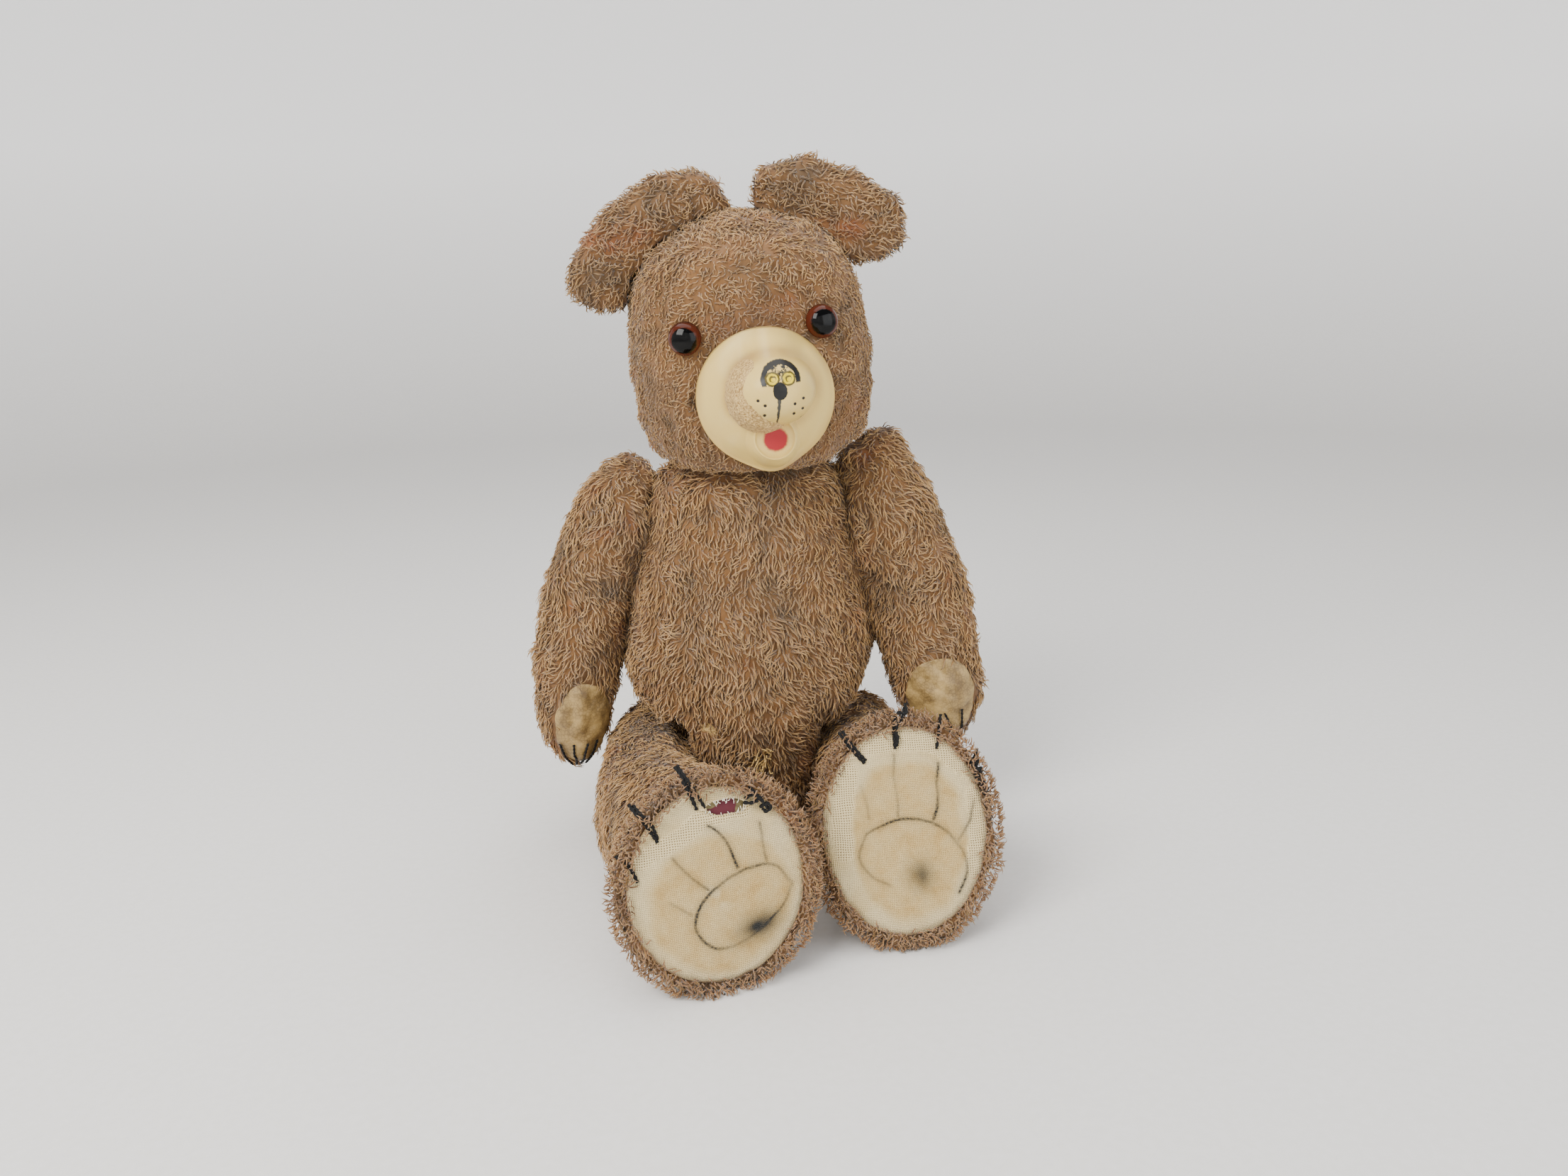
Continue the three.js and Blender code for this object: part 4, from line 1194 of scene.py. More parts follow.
def eyeMaterial(side, plan):
    # Clear glass over a painted back: a hard sharp shine, and colour that seems to lie inside
    material, tree, shader = newMaterial(f"painted glass eye, {side}", Roughness=0.08, IOR=1.52)
    shader.inputs["Coat Weight"].default_value = 0.12
    shader.inputs["Specular IOR Level"].default_value = 0.12
    shader.inputs["Coat Roughness"].default_value = 0.03
    flat = addNode(tree, "ShaderNodeAttribute", attribute_name="flat").outputs["Vector"]
    moved = addNode(tree, "ShaderNodeVectorMath", {0: flat, 1: (*plan[side]["shift"], 0)}, operation="SUBTRACT")
    away = addNode(tree, "ShaderNodeVectorMath", {0: moved.outputs[0]}, operation="LENGTH").outputs["Value"]
    rays = addNode(tree, "ShaderNodeTexNoise", {"Vector": flat, "Scale": 1.6, "Detail": 4.0}).outputs[0]
    stray = addNode(tree, "ShaderNodeMath", {0: rays, 1: 0.9, 2: away}, operation="MULTIPLY_ADD").outputs[0]
    share = addNode(tree, "ShaderNodeMapRange", {0: stray, 1: 0.0, 2: 8.0}).outputs[0]
    edge = (plan["pupil"] + 0.45) / 8
    stops = [(0, plan["black"]), (edge - 0.01, plan["black"]), (edge + 0.05, plan["iris"]),
             (edge + 0.2, plan["iris"]), (edge + 0.33, plan["edge"])]
    colour = addNode(tree, "ShaderNodeValToRGB", {0: share}, stops=stops)
    tree.links.new(colour.outputs[0], shader.inputs["Base Color"])
    # Fine scratches from years of handling
    scratches = addNode(tree, "ShaderNodeTexNoise", {"Vector": flat, "Scale": 2.5, "Detail": 8.0, "Roughness": 0.8})
    rough = addNode(tree, "ShaderNodeMapRange", {0: scratches.outputs[0], 1: 0.5, 2: 0.75, 3: 0.05, 4: 0.3})
    tree.links.new(rough.outputs[0], shader.inputs["Roughness"])
    return material


def addEye(side, plan):
    steps = 56
    lathe = smoothRoute([(r, h) for r, h in plan["outline"][:-1]], 3)
    lathe = np.vstack([lathe, plan["outline"][-1]])
    places, faces = [(0, 0, lathe[0][1])], []
    for radius, height in lathe[1:-1]:
        for step in range(steps):
            turn = 2 * math.pi * step / steps
            places.append((radius * math.cos(turn), radius * math.sin(turn), height))
    places.append((0, 0, lathe[-1][1]))
    rows = len(lathe) - 2
    for step in range(steps):
        after = (step + 1) % steps
        faces.append((0, 1 + step, 1 + after))
        for row in range(rows - 1):
            start = 1 + row * steps
            faces.append((start + step, start + steps + step, start + steps + after, start + after))
        start = 1 + (rows - 1) * steps
        faces.append((start + after, start + step, len(places) - 1))
    places = np.array(places)
    outwards = Vector((sides[side] * 0.3, -1, 0.1)).normalized()
    level = Vector((0, 0, 1)).cross(outwards).normalized()
    upright = outwards.cross(level)
    turned = places @ np.array((level, upright, outwards)) + np.array(plan[side]["at"])
    mesh = meshFrom(f"eye_glass_{side}", outOfHead(turned * mm), faces)
    store(mesh, "flat", places * np.array((1, 1, 0)), "FLOAT_VECTOR")
    fit(newPiece(f"eye_glass_{side}", mesh, eyeMaterial(side, plan)), "head", "eye_glass", f"eye_{side}")
    print(side, "eye made")


# Yarn and thread: a flattened round section twisted along its route

def yarnTree():
    tree = bpy.data.node_groups.new("twisted yarn", "GeometryNodeTree")
    sockets = tree.interface
    sockets.new_socket("Geometry", in_out="INPUT", socket_type="NodeSocketGeometry")
    for name, value in (("Radius", 0.0008), ("Twist", 1400.0)):
        sockets.new_socket(name, in_out="INPUT", socket_type="NodeSocketFloat").default_value = value
    sockets.new_socket("Material", in_out="INPUT", socket_type="NodeSocketMaterial")
    sockets.new_socket("Geometry", in_out="OUTPUT", socket_type="NodeSocketGeometry")
    source = addNode(tree, "NodeGroupInput").outputs
    curve = addNode(tree, "GeometryNodeMeshToCurve", {0: source["Geometry"]})
    gone = addNode(tree, "GeometryNodeSplineParameter").outputs
    turn = addNode(tree, "ShaderNodeMath", {0: gone["Length"], 1: source["Twist"]}, operation="MULTIPLY")
    twisted = addNode(tree, "GeometryNodeSetCurveTilt", {"Curve": curve.outputs[0], "Tilt": turn.outputs[0]})
    # Both ends thin out
    left = addNode(tree, "ShaderNodeMath", {0: 1.0, 1: gone["Factor"]}, operation="SUBTRACT")
    nearest = addNode(tree, "ShaderNodeMath", {0: gone["Factor"], 1: left.outputs[0]}, operation="MINIMUM")
    size = addNode(tree, "ShaderNodeMapRange", {0: nearest.outputs[0], 1: 0.0, 2: 0.08, 3: 0.45, 4: 1.0})
    thinned = addNode(tree, "GeometryNodeSetCurveRadius", {
        "Curve": twisted.outputs[0], "Radius": size.outputs[0]})
    section = addNode(tree, "GeometryNodeCurvePrimitiveCircle", {"Resolution": 9, "Radius": source["Radius"]})
    flattened = addNode(tree, "GeometryNodeTransform", {
        0: section.outputs[0], "Scale": (1.0, 0.62, 1.0)})
    tube = addNode(tree, "GeometryNodeCurveToMesh", {
        "Curve": thinned.outputs[0], "Profile Curve": flattened.outputs[0], "Fill Caps": True})
    real = addNode(tree, "GeometryNodeRealizeInstances", {0: tube.outputs[0]})
    finished = addNode(tree, "GeometryNodeSetMaterial", {0: real.outputs[0], 2: source["Material"]})
    addNode(tree, "NodeGroupOutput", {0: finished.outputs[0]})
    return tree


yarnGroup = yarnTree()


def layYarn(name, routes, radius, material, twist=1.4):
    # routes are lists of points in millimetres; twist is in radians a millimetre
    places, edges = [], []
    for route in routes:
        smooth = smoothRoute(route, 10) * mm
        edges += [(len(places) + i, len(places) + i + 1) for i in range(len(smooth) - 1)]
        places += [tuple(p) for p in smooth]
    mesh = bpy.data.meshes.new(name)
    mesh.from_pydata(places, edges, [])
    piece = newPiece(name, mesh, smooth=False)
    lay = piece.modifiers.new("yarn", "NODES")
    lay.node_group = yarnGroup
    values = {"Radius": radius * mm, "Twist": twist / mm, "Material": material}
    for item in yarnGroup.interface.items_tree:
        if item.in_out == "INPUT" and item.name in values:
            lay[item.identifier] = values[item.name]
    bake(piece)
    piece.data.shade_smooth()
    return piece


def threadMaterial(name, dark, light, fibre, **constants):
    # Spun thread: matt, with fibres that catch a little light along the twist
    material, tree, shader = newMaterial(name, **constants)
    shader.inputs["Sheen Weight"].default_value = 0.08
    shader.inputs["Specular IOR Level"].default_value = 0.25
    shader.inputs["Sheen Roughness"].default_value = 0.5
    coords = addNode(tree, "ShaderNodeTexCoord")
    hair = addNode(tree, "ShaderNodeTexNoise", {
        "Vector": coords.outputs["Object"], "Scale": 0.5 / (fibre * mm), "Detail": 3.0})
    colour = addNode(tree, "ShaderNodeValToRGB", {0: hair.outputs[0]}, stops=[(0.35, dark), (0.7, light)])
    tree.links.new(colour.outputs[0], shader.inputs["Base Color"])
    relief = addNode(tree, "ShaderNodeBump", {"Height": hair.outputs[0], "Strength": 0.6, "Distance": 0.2 * mm})
    tree.links.new(relief.outputs[0], shader.inputs["Normal"])
    return material


yarnMaterial = threadMaterial("black wool claw yarn", "#050505", "#151414", 0.3, Roughness=0.75)
frayMaterial = threadMaterial("bleached cotton thread", "#cfc6ae", "#f3efe2", 0.15, Roughness=0.85)
woolMaterial = threadMaterial("wood wool", "#8d6c3a", "#dfbe7d", 0.4, Roughness=0.6)


# Soles: woven cotton stretched over a card, drawn on in pencil and ink

solePlan = {
    "crown": 2.4,
    "steps": (320, 104),
    "cloth": 0.7,
    "thread": 0.72,  # spacing of the threads
    "coarse": 0.95,
    "pale": "#e0cc9c", "middle": "#cba968", "aged": "#a27d47", "gap": "#75603c", "ink": "#22221f",
    "stitch": "#7a5636",
    "right": {
        "strokes": (
            {"points": ((28.3, -3.1), (21.3, 5.4), (7.5, 5.0), (-4.2, -1.8), (-8.4, -7.3), (-10.2, -13.9),
                        (-6.5, -20.5), (0.2, -23.4), (12, -20), (24, -11), (28.3, -3.1)), "dark": 0.85},
            {"points": ((7.3, 6.9), (5.1, 14.1), (3.0, 18.8), (0.2, 22.4), (-2.1, 23.7)), "dark": 1.0},
            {"points": ((18.7, 7.5), (18.3, 11.3), (17.9, 17.7), (17.3, 22.2)), "dark": 0.75},
            {"points": ((-4.1, 0), (-8.7, 4.0), (-13.1, 9.1), (-15.8, 13.8)), "dark": 0.7},
            {"points": ((-11, -8.8), (-15, -5.5), (-18.4, -3.1)), "dark": 0.4}),
        "smudge": {"at": (14.2, -17.1), "radii": (11.5, 6.4), "turn": 17, "dark": 0.95},
        "worn": {"at": (-1.5, -4), "radii": (7, 9)},
        "bands": (((-29.0, 14), (-19.6, 18.2), (-11.1, 22.3), (-2.5, 26.8), (11, 28)),),
        "bandWide": 3.3,
        "aged": (0, -6, 27, 26),
        "tear": {"at": (5.4, 30.0), "radii": (7.8, 2.6), "turn": -2},
    },
    "left": {
        "strokes": (
            {"points": ((-15.8, -0.1), (-11.4, 2.3), (-4, 4.4), (2.2, 4.8), (12.0, 2.0), (19.3, -4.8),
                        (23.1, -11.3), (23.3, -18.9), (20.0, -25.5)), "dark": 0.8},
            {"points": ((-15.8, -0.1), (-19, -6.8), (-18, -12.4), (-13.4, -17.5), (-8, -20.3)), "dark": 0.65},
            {"points": ((-3, 5.8), (-3.1, 14.9), (-3.7, 21.9), (-3.1, 30.2)), "dark": 0.45},
            {"points": ((11.1, 4.2), (13.3, 10.3), (13.5, 17.9), (14.4, 25.5)), "dark": 1.0},
            {"points": ((20.8, -4.9), (25.5, 1.7), (27.9, 9.9)), "dark": 0.6},
            {"points": ((-14.3, 6), (-14.9, 12.2), (-16.6, 18.6)), "dark": 0.3}),
        "smudge": {"at": (4.6, -17.8), "radii": (6.6, 7.2), "turn": 0, "dark": 0.8},
        "worn": {"at": (-11.3, 3.7), "radii": (4.5, 3)},
        "bands": (((-25, -6), (-25, 8), (-22, 24)), ((-19, 34), (-1, 36), (15, 33), (25, 24)),
                  ((29, 12), (29.5, 0), (27, -16))),
        "bandWide": 4.2,
        "aged": (1, -3, 23, 32),
        "tear": None,
    },
}


def soleFrame(side):
    # The sole's middle and its right, up and outward directions, in millimetres
    places = placesOf(frame["nodes"][f"foot_pad_{side}"].data) / mm
    middle = places.mean(axis=0)
    out = np.linalg.svd(places - middle, full_matrices=False)[2][2]
    out = out if out[1] < 0 else -out
    up = np.array([0, 0, 1]) - out[2] * out
    up /= np.linalg.norm(up)
    right = np.cross(up, out)
    spans = [(places - middle) @ axis for axis in (right, up, out)]
    halves = [(span.max() + span.min()) / 2 for span in spans[:2]]
    middle = middle + right * halves[0] + up * halves[1] + out * spans[2].max()
    return middle, right, up, out


def onSole(places, sole):
    middle, right, up, out = sole
    moved = places / mm - middle
    return moved @ right, moved @ up, moved @ out


def outlineOf(node, sole, count):
    # A smooth closed outline round a flat node, from how far it reaches in each direction
    across, up, _ = onSole(placesOf(frame["nodes"][node].data), sole)
    turns = np.linspace(0, 2 * np.pi, count, endpoint=False)
    reach = np.max(np.outer(np.cos(turns), across) + np.outer(np.sin(turns), up), axis=1)
    waves = np.fft.rfft(reach)
    waves[7:] = 0
    reach = np.fft.irfft(waves, count)
    slope = np.fft.irfft(waves * 1j * np.arange(len(waves)), count)
    return np.stack([reach * np.cos(turns) - slope * np.sin(turns),
                     reach * np.sin(turns) + slope * np.cos(turns)], axis=1)


def soleHeight(share, plan):
    return plan["crown"] * (1 - np.minimum(share, 1) ** 2.6) - 1.6 * ramp(share, 0.9, 1.0) ** 2


def offSole(points, sole):
    middle, right, up, out = sole
    a, b, lift = np.asarray(points, float).T
    return middle + np.outer(a, right) + np.outer(b, up) + np.outer(lift, out)


def nearStroke(flat, points):
    route = smoothRoute(points, 6)
    away = np.full(len(flat), 1e3)
    for start, end in zip(route[:-1], route[1:]):
        run = end - start
        share = np.clip(((flat - start) @ run) / max(run @ run, 1e-9), 0, 1)
        away = np.minimum(away, np.linalg.norm(flat - start - share[:, None] * run, axis=1))
    return away


def ovalShare(flat, form):
    # The distance from an oval's middle, where 1 is its edge
    turn = math.radians(form.get("turn", 0))
    moved = flat - np.array(form["at"])
    along = moved[:, 0] * math.cos(turn) + moved[:, 1] * math.sin(turn)
    aside = moved[:, 1] * math.cos(turn) - moved[:, 0] * math.sin(turn)
    return np.hypot(along / form["radii"][0], aside / form["radii"][1])


def clothMaterial(plan):
    # Plain woven cotton, yellowed and rubbed: matt, with the threads showing one by one
    material, tree, shader = newMaterial("yellowed woven cotton", Roughness=0.9, Sheen_Weight=0.15)
    shader.inputs["Specular IOR Level"].default_value = 0.2
    flat = addNode(tree, "ShaderNodeAttribute", attribute_name="flat").outputs["Vector"]
    coarse = addNode(tree, "ShaderNodeAttribute", attribute_name="coarse").outputs["Fac"]
    aged = addNode(tree, "ShaderNodeAttribute", attribute_name="aged").outputs["Fac"]
    ink = addNode(tree, "ShaderNodeAttribute", attribute_name="ink").outputs["Fac"]
    edge = addNode(tree, "ShaderNodeAttribute", attribute_name="edge").outputs["Fac"]
    pull = addNode(tree, "ShaderNodeTexNoise", {"Vector": flat, "Scale": 0.12, "Detail": 3.0})
    pulled = addNode(tree, "ShaderNodeVectorMath", {0: pull.outputs["Color"], 3: 1.6}, operation="SCALE")
    weave = addNode(tree, "ShaderNodeVectorMath", {0: flat, 1: pulled.outputs[0]}, operation="ADD").outputs[0]
    threads = []
    for direction in ("X", "Y"):
        for spacing in (plan["thread"], plan["coarse"]):
            wave = addNode(tree, "ShaderNodeTexWave", {
                "Vector": weave, "Scale": math.pi / (10 * spacing), "Distortion": 0.6, "Detail": 2.0,
                "Detail Scale": 2.0}, bands_direction=direction)
            threads.append(wave.outputs["Fac"])
    fineX, coarseX, fineY, coarseY = threads
    warp = addNode(tree, "ShaderNodeMix", {0: coarse, 2: fineX, 3: coarseX}).outputs[0]
    weft = addNode(tree, "ShaderNodeMix", {0: coarse, 2: fineY, 3: coarseY}).outputs[0]
    over = addNode(tree, "ShaderNodeMath", {0: warp, 1: weft}, operation="MAXIMUM").outputs[0]
    both = addNode(tree, "ShaderNodeMath", {0: warp, 1: weft}, operation="ADD").outputs[0]
    cloud = addNode(tree, "ShaderNodeTexNoise", {"Vector": flat, "Scale": 0.11, "Detail": 6.0, "Roughness": 0.6})
    speck = addNode(tree, "ShaderNodeTexNoise", {"Vector": flat, "Scale": 1.1, "Detail": 3.0})
    uneven = addNode(tree, "ShaderNodeMapRange", {0: cloud.outputs[0], 1: 0.3, 2: 0.7, 3: 0.5, 4: 1.1})
    old = addNode(tree, "ShaderNodeMath", {0: aged, 1: uneven.outputs[0]}, operation="MULTIPLY", use_clamp=True)
    colour = coat(tree, linear(plan["pale"]), plan["middle"], old.outputs[0])
    stain = addNode(tree, "ShaderNodeMapRange", {0: cloud.outputs[0], 1: 0.52, 2: 0.75, 3: 0.0, 4: 0.3})
    stained = addNode(tree, "ShaderNodeMath", {0: stain.outputs[0], 1: aged}, operation="MULTIPLY")
    colour = coat(tree, colour, plan["aged"], stained.outputs[0])
    hole = addNode(tree, "ShaderNodeMapRange", {0: over, 1: 0.15, 2: 0.7, 3: 1.0, 4: 0.0})
    open_ = addNode(tree, "ShaderNodeMapRange", {0: coarse, 3: 0.6, 4: 1.0})
    holes = addNode(tree, "ShaderNodeMath", {0: hole.outputs[0], 1: open_.outputs[0]}, operation="MULTIPLY")
    colour = coat(tree, colour, plan["gap"], holes.outputs[0])
    grain = addNode(tree, "ShaderNodeMapRange", {0: speck.outputs[0], 1: 0.35, 2: 0.6, 3: 0.75, 4: 1.15})
    high = addNode(tree, "ShaderNodeMapRange", {0: both, 1: 0.3, 2: 1.6, 3: 0.85, 4: 1.0})
    drawn = addNode(tree, "ShaderNodeMath", {0: grain.outputs[0], 1: high.outputs[0]}, operation="MULTIPLY")
    drawn = addNode(tree, "ShaderNodeMath", {0: drawn.outputs[0], 1: ink}, operation="MULTIPLY", use_clamp=True)
    colour = coat(tree, colour, plan["ink"], drawn.outputs[0])
    smear = addNode(tree, "ShaderNodeAttribute", attribute_name="smear").outputs["Fac"]
    colour = coat(tree, colour, plan["ink"], smear)
    colour = coat(tree, colour, plan["stitch"], edge)
    tree.links.new(colour, shader.inputs["Base Color"])
    height = addNode(tree, "ShaderNodeMath", {0: both, 1: 0.5}, operation="MULTIPLY")
    relief = addNode(tree, "ShaderNodeBump", {
        "Height": height.outputs[0], "Strength": 1.0, "Distance": 0.4 * mm})
    tree.links.new(relief.outputs[0], shader.inputs["Normal"])
    return material


clothFinish = clothMaterial(solePlan)


def addFray(side, sole, tear, seed):
    # Broken threads stand across the tear's lips
    draw = np.random.default_rng(seed)
    routes = []
    for share in np.linspace(-1, 1, 26):
        lip = 1 if draw.random() < 0.5 else -1
        a = tear["at"][0] + share * tear["radii"][0] * 1.02
        reach = tear["radii"][1] * math.sqrt(max(0, 1 - share ** 2)) + 0.7
        b = tear["at"][1] + lip * reach
        long_ = draw.uniform(0.8, 2.6)
        drop = draw.uniform(-0.6, 1.0)
        side_ = draw.uniform(-1.2, 1.2)
        routes.append(offSole([(a, b, 1.2), (a + side_ * 0.3, b - lip * long_ * 0.5, 1.6 + drop * 0.4),
                               (a + side_, b - lip * long_, 1.2 + drop)], sole))
    fray = layYarn(f"sole_fray_{side}", routes, 0.17, frayMaterial, 2.0)
    fit(fray, f"leg_{side}", "pad_cotton")


def addSole(side, plan, seed):
    sole = soleFrame(side)
    own = plan[side]
    count, rings = plan["steps"]
    outline = outlineOf(f"foot_pad_{side}", sole, count) * 1.01
    flat, faces, share = ringGrid(outline, np.linspace(0, 1, rings + 1)[1:])
    spread = np.column_stack([flat, np.zeros(len(flat))]) * mm
    waves, ripples = drift(spread, 13, seed), drift(spread, 5, seed + 1)
    turn = np.arctan2(flat[:, 1], flat[:, 0])
    pucker = np.sin(turn * 34 + 3 * waves[:, 1]) * ramp(share, 0.78, 0.97) * (0.5 + ripples[:, 0])
    height = soleHeight(share, plan) + 0.45 * waves[:, 0] + 0.12 * ripples[:, 1] + 0.22 * pucker
    band = np.min([nearStroke(flat, points) for points in own["bands"]], axis=0)
    coarse = ramp(band + ripples[:, 2], own["bandWide"] + 0.8, own["bandWide"] - 0.8)
    height += 0.25 * coarse
    a, b, wide, tall = own["aged"]
    aged = ramp(np.hypot((flat[:, 0] - a) / wide, (flat[:, 1] - b) / tall) + 0.12 * waves[:, 2], 1.12, 0.9)
    aged = np.maximum(aged * 0.95, 0.35 * ramp(waves[:, 1], -0.1, 0.5)) * (1 - 0.75 * coarse)
    worn = np.exp(-ovalShare(flat, own["worn"]) ** 2 * 1.5) * ramp(ripples[:, 0], -0.15, 0.3)
    aged = aged * (1 - 0.8 * worn)
    ink = np.zeros(len(flat))
    wobble = flat + 0.55 * waves[:, :2] + 0.35 * ripples[:, :2]
    for stroke in own["strokes"]:
        away = nearStroke(wobble, stroke["points"])
        press = stroke["dark"] * (0.72 + 0.6 * waves[:, 2])
        ink = np.maximum(ink, np.exp(-(away / 0.75) ** 2) * press * 1.25)
        ink = np.maximum(ink, np.exp(-(away / 1.7) ** 2) * press * 0.4)
    smudge = own["smudge"]
    smear = np.exp(-ovalShare(wobble, smudge) ** 2 * 1.6) * smudge["dark"] * (0.95 + 0.3 * ripples[:, 0])
    edge = ramp(share + 0.02 * ripples[:, 0], 0.965, 0.995) * 0.8
    tear = own["tear"]
    if tear:
        ragged = ovalShare(flat, tear) + 0.22 * ripples[:, 0] + 0.1 * waves[:, 0]
        height += 0.9 * np.exp(-((ragged - 1.1) / 0.25) ** 2) * np.sign(flat[:, 1] - tear["at"][1] + 0.3) * 0.7
        aged = aged + 0.25 * np.exp(-((ragged - 1.15) / 0.3) ** 2)
        faces = [face for face in faces if min(ragged[i] for i in face) > 1]
    places = offSole(np.column_stack([flat, height]), sole) * mm
    mesh = meshFrom(f"sole_cloth_{side}", places, faces)
    store(mesh, "flat", np.column_stack([flat, 0 * share]), "FLOAT_VECTOR")
    for name, values in (("coarse", coarse), ("aged", aged), ("ink", ink), ("edge", edge),
                         ("smear", smear)):
        store(mesh, name, np.clip(values, 0, 1))
    bm = bmesh.new()
    bm.from_mesh(mesh)
    bmesh.ops.delete(bm, geom=[v for v in bm.verts if not v.link_faces], context="VERTS")
    bm.to_mesh(mesh)
    bm.free()
    piece = newPiece(f"sole_cloth_{side}", mesh, clothFinish)
    layer = piece.modifiers.new("cloth", "SOLIDIFY")
    layer.thickness = plan["cloth"] * mm
    layer.offset = -1
    bake(piece)
    fit(piece, f"leg_{side}", "pad_cotton", f"foot_pad_{side}")
    if tear:
        addFray(side, sole, tear, seed + 3)
    # The card under the cloth keeps the sole flat
    flat, faces, share = ringGrid(outline[::4] * 0.97, np.linspace(0, 1, 25)[1:])
    places = offSole(np.column_stack([flat, soleHeight(share, plan) - 1.5]), sole) * mm
    card = meshFrom(f"sole_stiffener_{side}", places, faces)
    store(card, "flat", np.column_stack([flat, 0 * share]), "FLOAT_VECTOR")
    card = newPiece(f"sole_stiffener_{side}", card, cardMaterial)
    layer = card.modifiers.new("board", "SOLIDIFY")
    layer.thickness = 1.2 * mm
    layer.offset = -1
    bake(card)
    fit(card, f"leg_{side}", "pressed_card", f"sole_card_{side}")
    print(side, "sole made")


def cardFinish():
    # Pressed pulp card with scraps of printed colour: dull, speckled and a little fibrous
    material, tree, shader = newMaterial("pressed pulp card", Roughness=0.9)
    coords = addNode(tree, "ShaderNodeTexCoord").outputs["Object"]
    flecks = addNode(tree, "ShaderNodeTexNoise", {"Vector": coords, "Scale": 900.0, "Detail": 4.0}).outputs[0]
    scraps = addNode(tree, "ShaderNodeTexNoise", {"Vector": coords, "Scale": 140.0, "Detail": 1.0}).outputs[0]
    colour = addNode(tree, "ShaderNodeValToRGB", {0: flecks}, stops=[(0.3, "#5d5236"), (0.7, "#8d8058")]).outputs[0]
    printed = addNode(tree, "ShaderNodeMapRange", {0: scraps, 1: 0.5, 2: 0.53}).outputs[0]
    colour = coat(tree, colour, "#5e2630", printed)
    tree.links.new(colour, shader.inputs["Base Color"])
    relief = addNode(tree, "ShaderNodeBump", {"Height": flecks, "Strength": 0.4, "Distance": 0.1 * mm})
    tree.links.new(relief.outputs[0], shader.inputs["Normal"])
    return material


cardMaterial = cardFinish()


# Claws: loops of black yarn drawn over the top of each sole, and short stitches on each hand

clawPlan = {
    "thick": 0.8,
    "right": (
        (((-36.6, 16.5, -2.5), (-33.6, 15.4, 0.6), (-31.6, 12, 1.2), (-29.6, 7.0, 1.0)),),
        (((-29.8, 35.0, -3), (-27.6, 31.6, 0.9), (-24.8, 27.5, 1.5), (-21.2, 20.6, 1.2)),
         ((-28.2, 34.4, -3), (-26.2, 31.9, 1.4), (-23.2, 28.2, 2.0), (-20.9, 21.8, 0.9))),
        (((-11.8, 46.5, -3), (-9.8, 43.0, 0.8), (-7.8, 37.4, 1.9), (-5.9, 30.6, 1.6)),
         ((-10.9, 46.8, -3), (-8.9, 43.2, 1.4), (-6.0, 37.6, 2.2), (-2.8, 31.0, 1.6)),
         ((-10.2, 42, 1.6), (-8.2, 37, 2.6), (-6.6, 32.6, 1.6))),
        (((13.2, 41.5, -3), (14.6, 36.6, 1.2), (16.6, 33.2, 2.6), (19.4, 29.4, 2.8), (20.8, 27.2, 1.5)),
         ((12.4, 32.2, 1.6), (15.4, 33.6, 3.0), (18.2, 31.2, 3.4), (20.2, 28.0, 2.4)),
         ((11.8, 30.8, 1.6), (14.4, 30.4, 2.6), (17.4, 31.6, 3.2), (19.2, 33.6, 1.8)),
         ((17.8, 28.2, 2.0), (20.0, 29.6, 3.2), (21.6, 28.0, 2.8), (20.2, 26.2, 2.2), (18.6, 27.4, 2.0)))),
    "left": (
        (((31.8, 30.0, -3), (28.6, 24.0, 0.6), (30.9, 25.8, 1.8), (28.9, 21.2, 1.8), (30.6, 17.6, 1.4),
          (33.4, 14.0, 0.4)),
         ((27.4, 25.6, 0.8), (29.8, 22.4, 2.2), (31.8, 22.8, 1.8), (30.6, 19.2, 1.6)),
         ((32.4, 17.2, 0.6), (33.6, 14.6, 1.4), (32.6, 12.4, 0.8), (31.6, 13.8, 1.0))),
        (((18.0, 44.6, -3), (16.3, 40.0, 0.6), (15.4, 36.0, 1.6), (14.3, 31.4, 1.6)),),
        (((4.0, 50.0, -3), (3.2, 46.0, 0.2), (-0.4, 46.4, 1.4), (-2.2, 41.0, 1.6), (-2.3, 32.4, 1.8)),
         ((3.4, 49.0, -3), (1.6, 44.6, 1.0), (-1.2, 40.8, 2.4), (-1.6, 33.4, 1.8)),
         ((-2.8, 39.4, 1.8), (-1.0, 36.8, 2.8), (-2.4, 33.6, 2.2))),
        (((-23.6, 40.0, -3), (-21.0, 35.4, 0.6), (-18.2, 31.4, 1.8), (-14.8, 27.6, 1.4)),
         ((-22.2, 40.6, -3), (-20.0, 36.2, 1.0), (-17.4, 32.4, 2.0), (-14.2, 28.6, 1.2)))),
}


def addSoleClaws(side, plan):
    sole = soleFrame(side)
    for number, routes in enumerate(plan[side], 1):
        laid = [offSole(route, sole) for route in routes]
        claw = layYarn(f"sole_claw_{side}_{number}", laid, plan["thick"], yarnMaterial)
        fit(claw, f"leg_{side}", "claw_yarn", f"foot_claw_{side}_{number}")
    print(side, "sole claws made")


def middleLine(node, count=4):
    # Points along the middle of a tube
    places = placesOf(frame["nodes"][node].data) / mm
    centre = places.mean(axis=0)
    run = np.linalg.svd(places - centre, full_matrices=False)[2][0]
    share = (places - centre) @ run
    cuts = np.linspace(share.min(), share.max() + 1e-6, count + 1)
    groups = [places[(share >= low) & (share < high)] for low, high in zip(cuts[:-1], cuts[1:])]
    line = np.array([group.mean(axis=0) for group in groups if len(group)])
    ends = [centre + run * share.min(), centre + run * share.max()]
    return np.vstack([ends[0] * 0.5 + line[0] * 0.5, line[1:-1], ends[1] * 0.5 + line[-1] * 0.5])


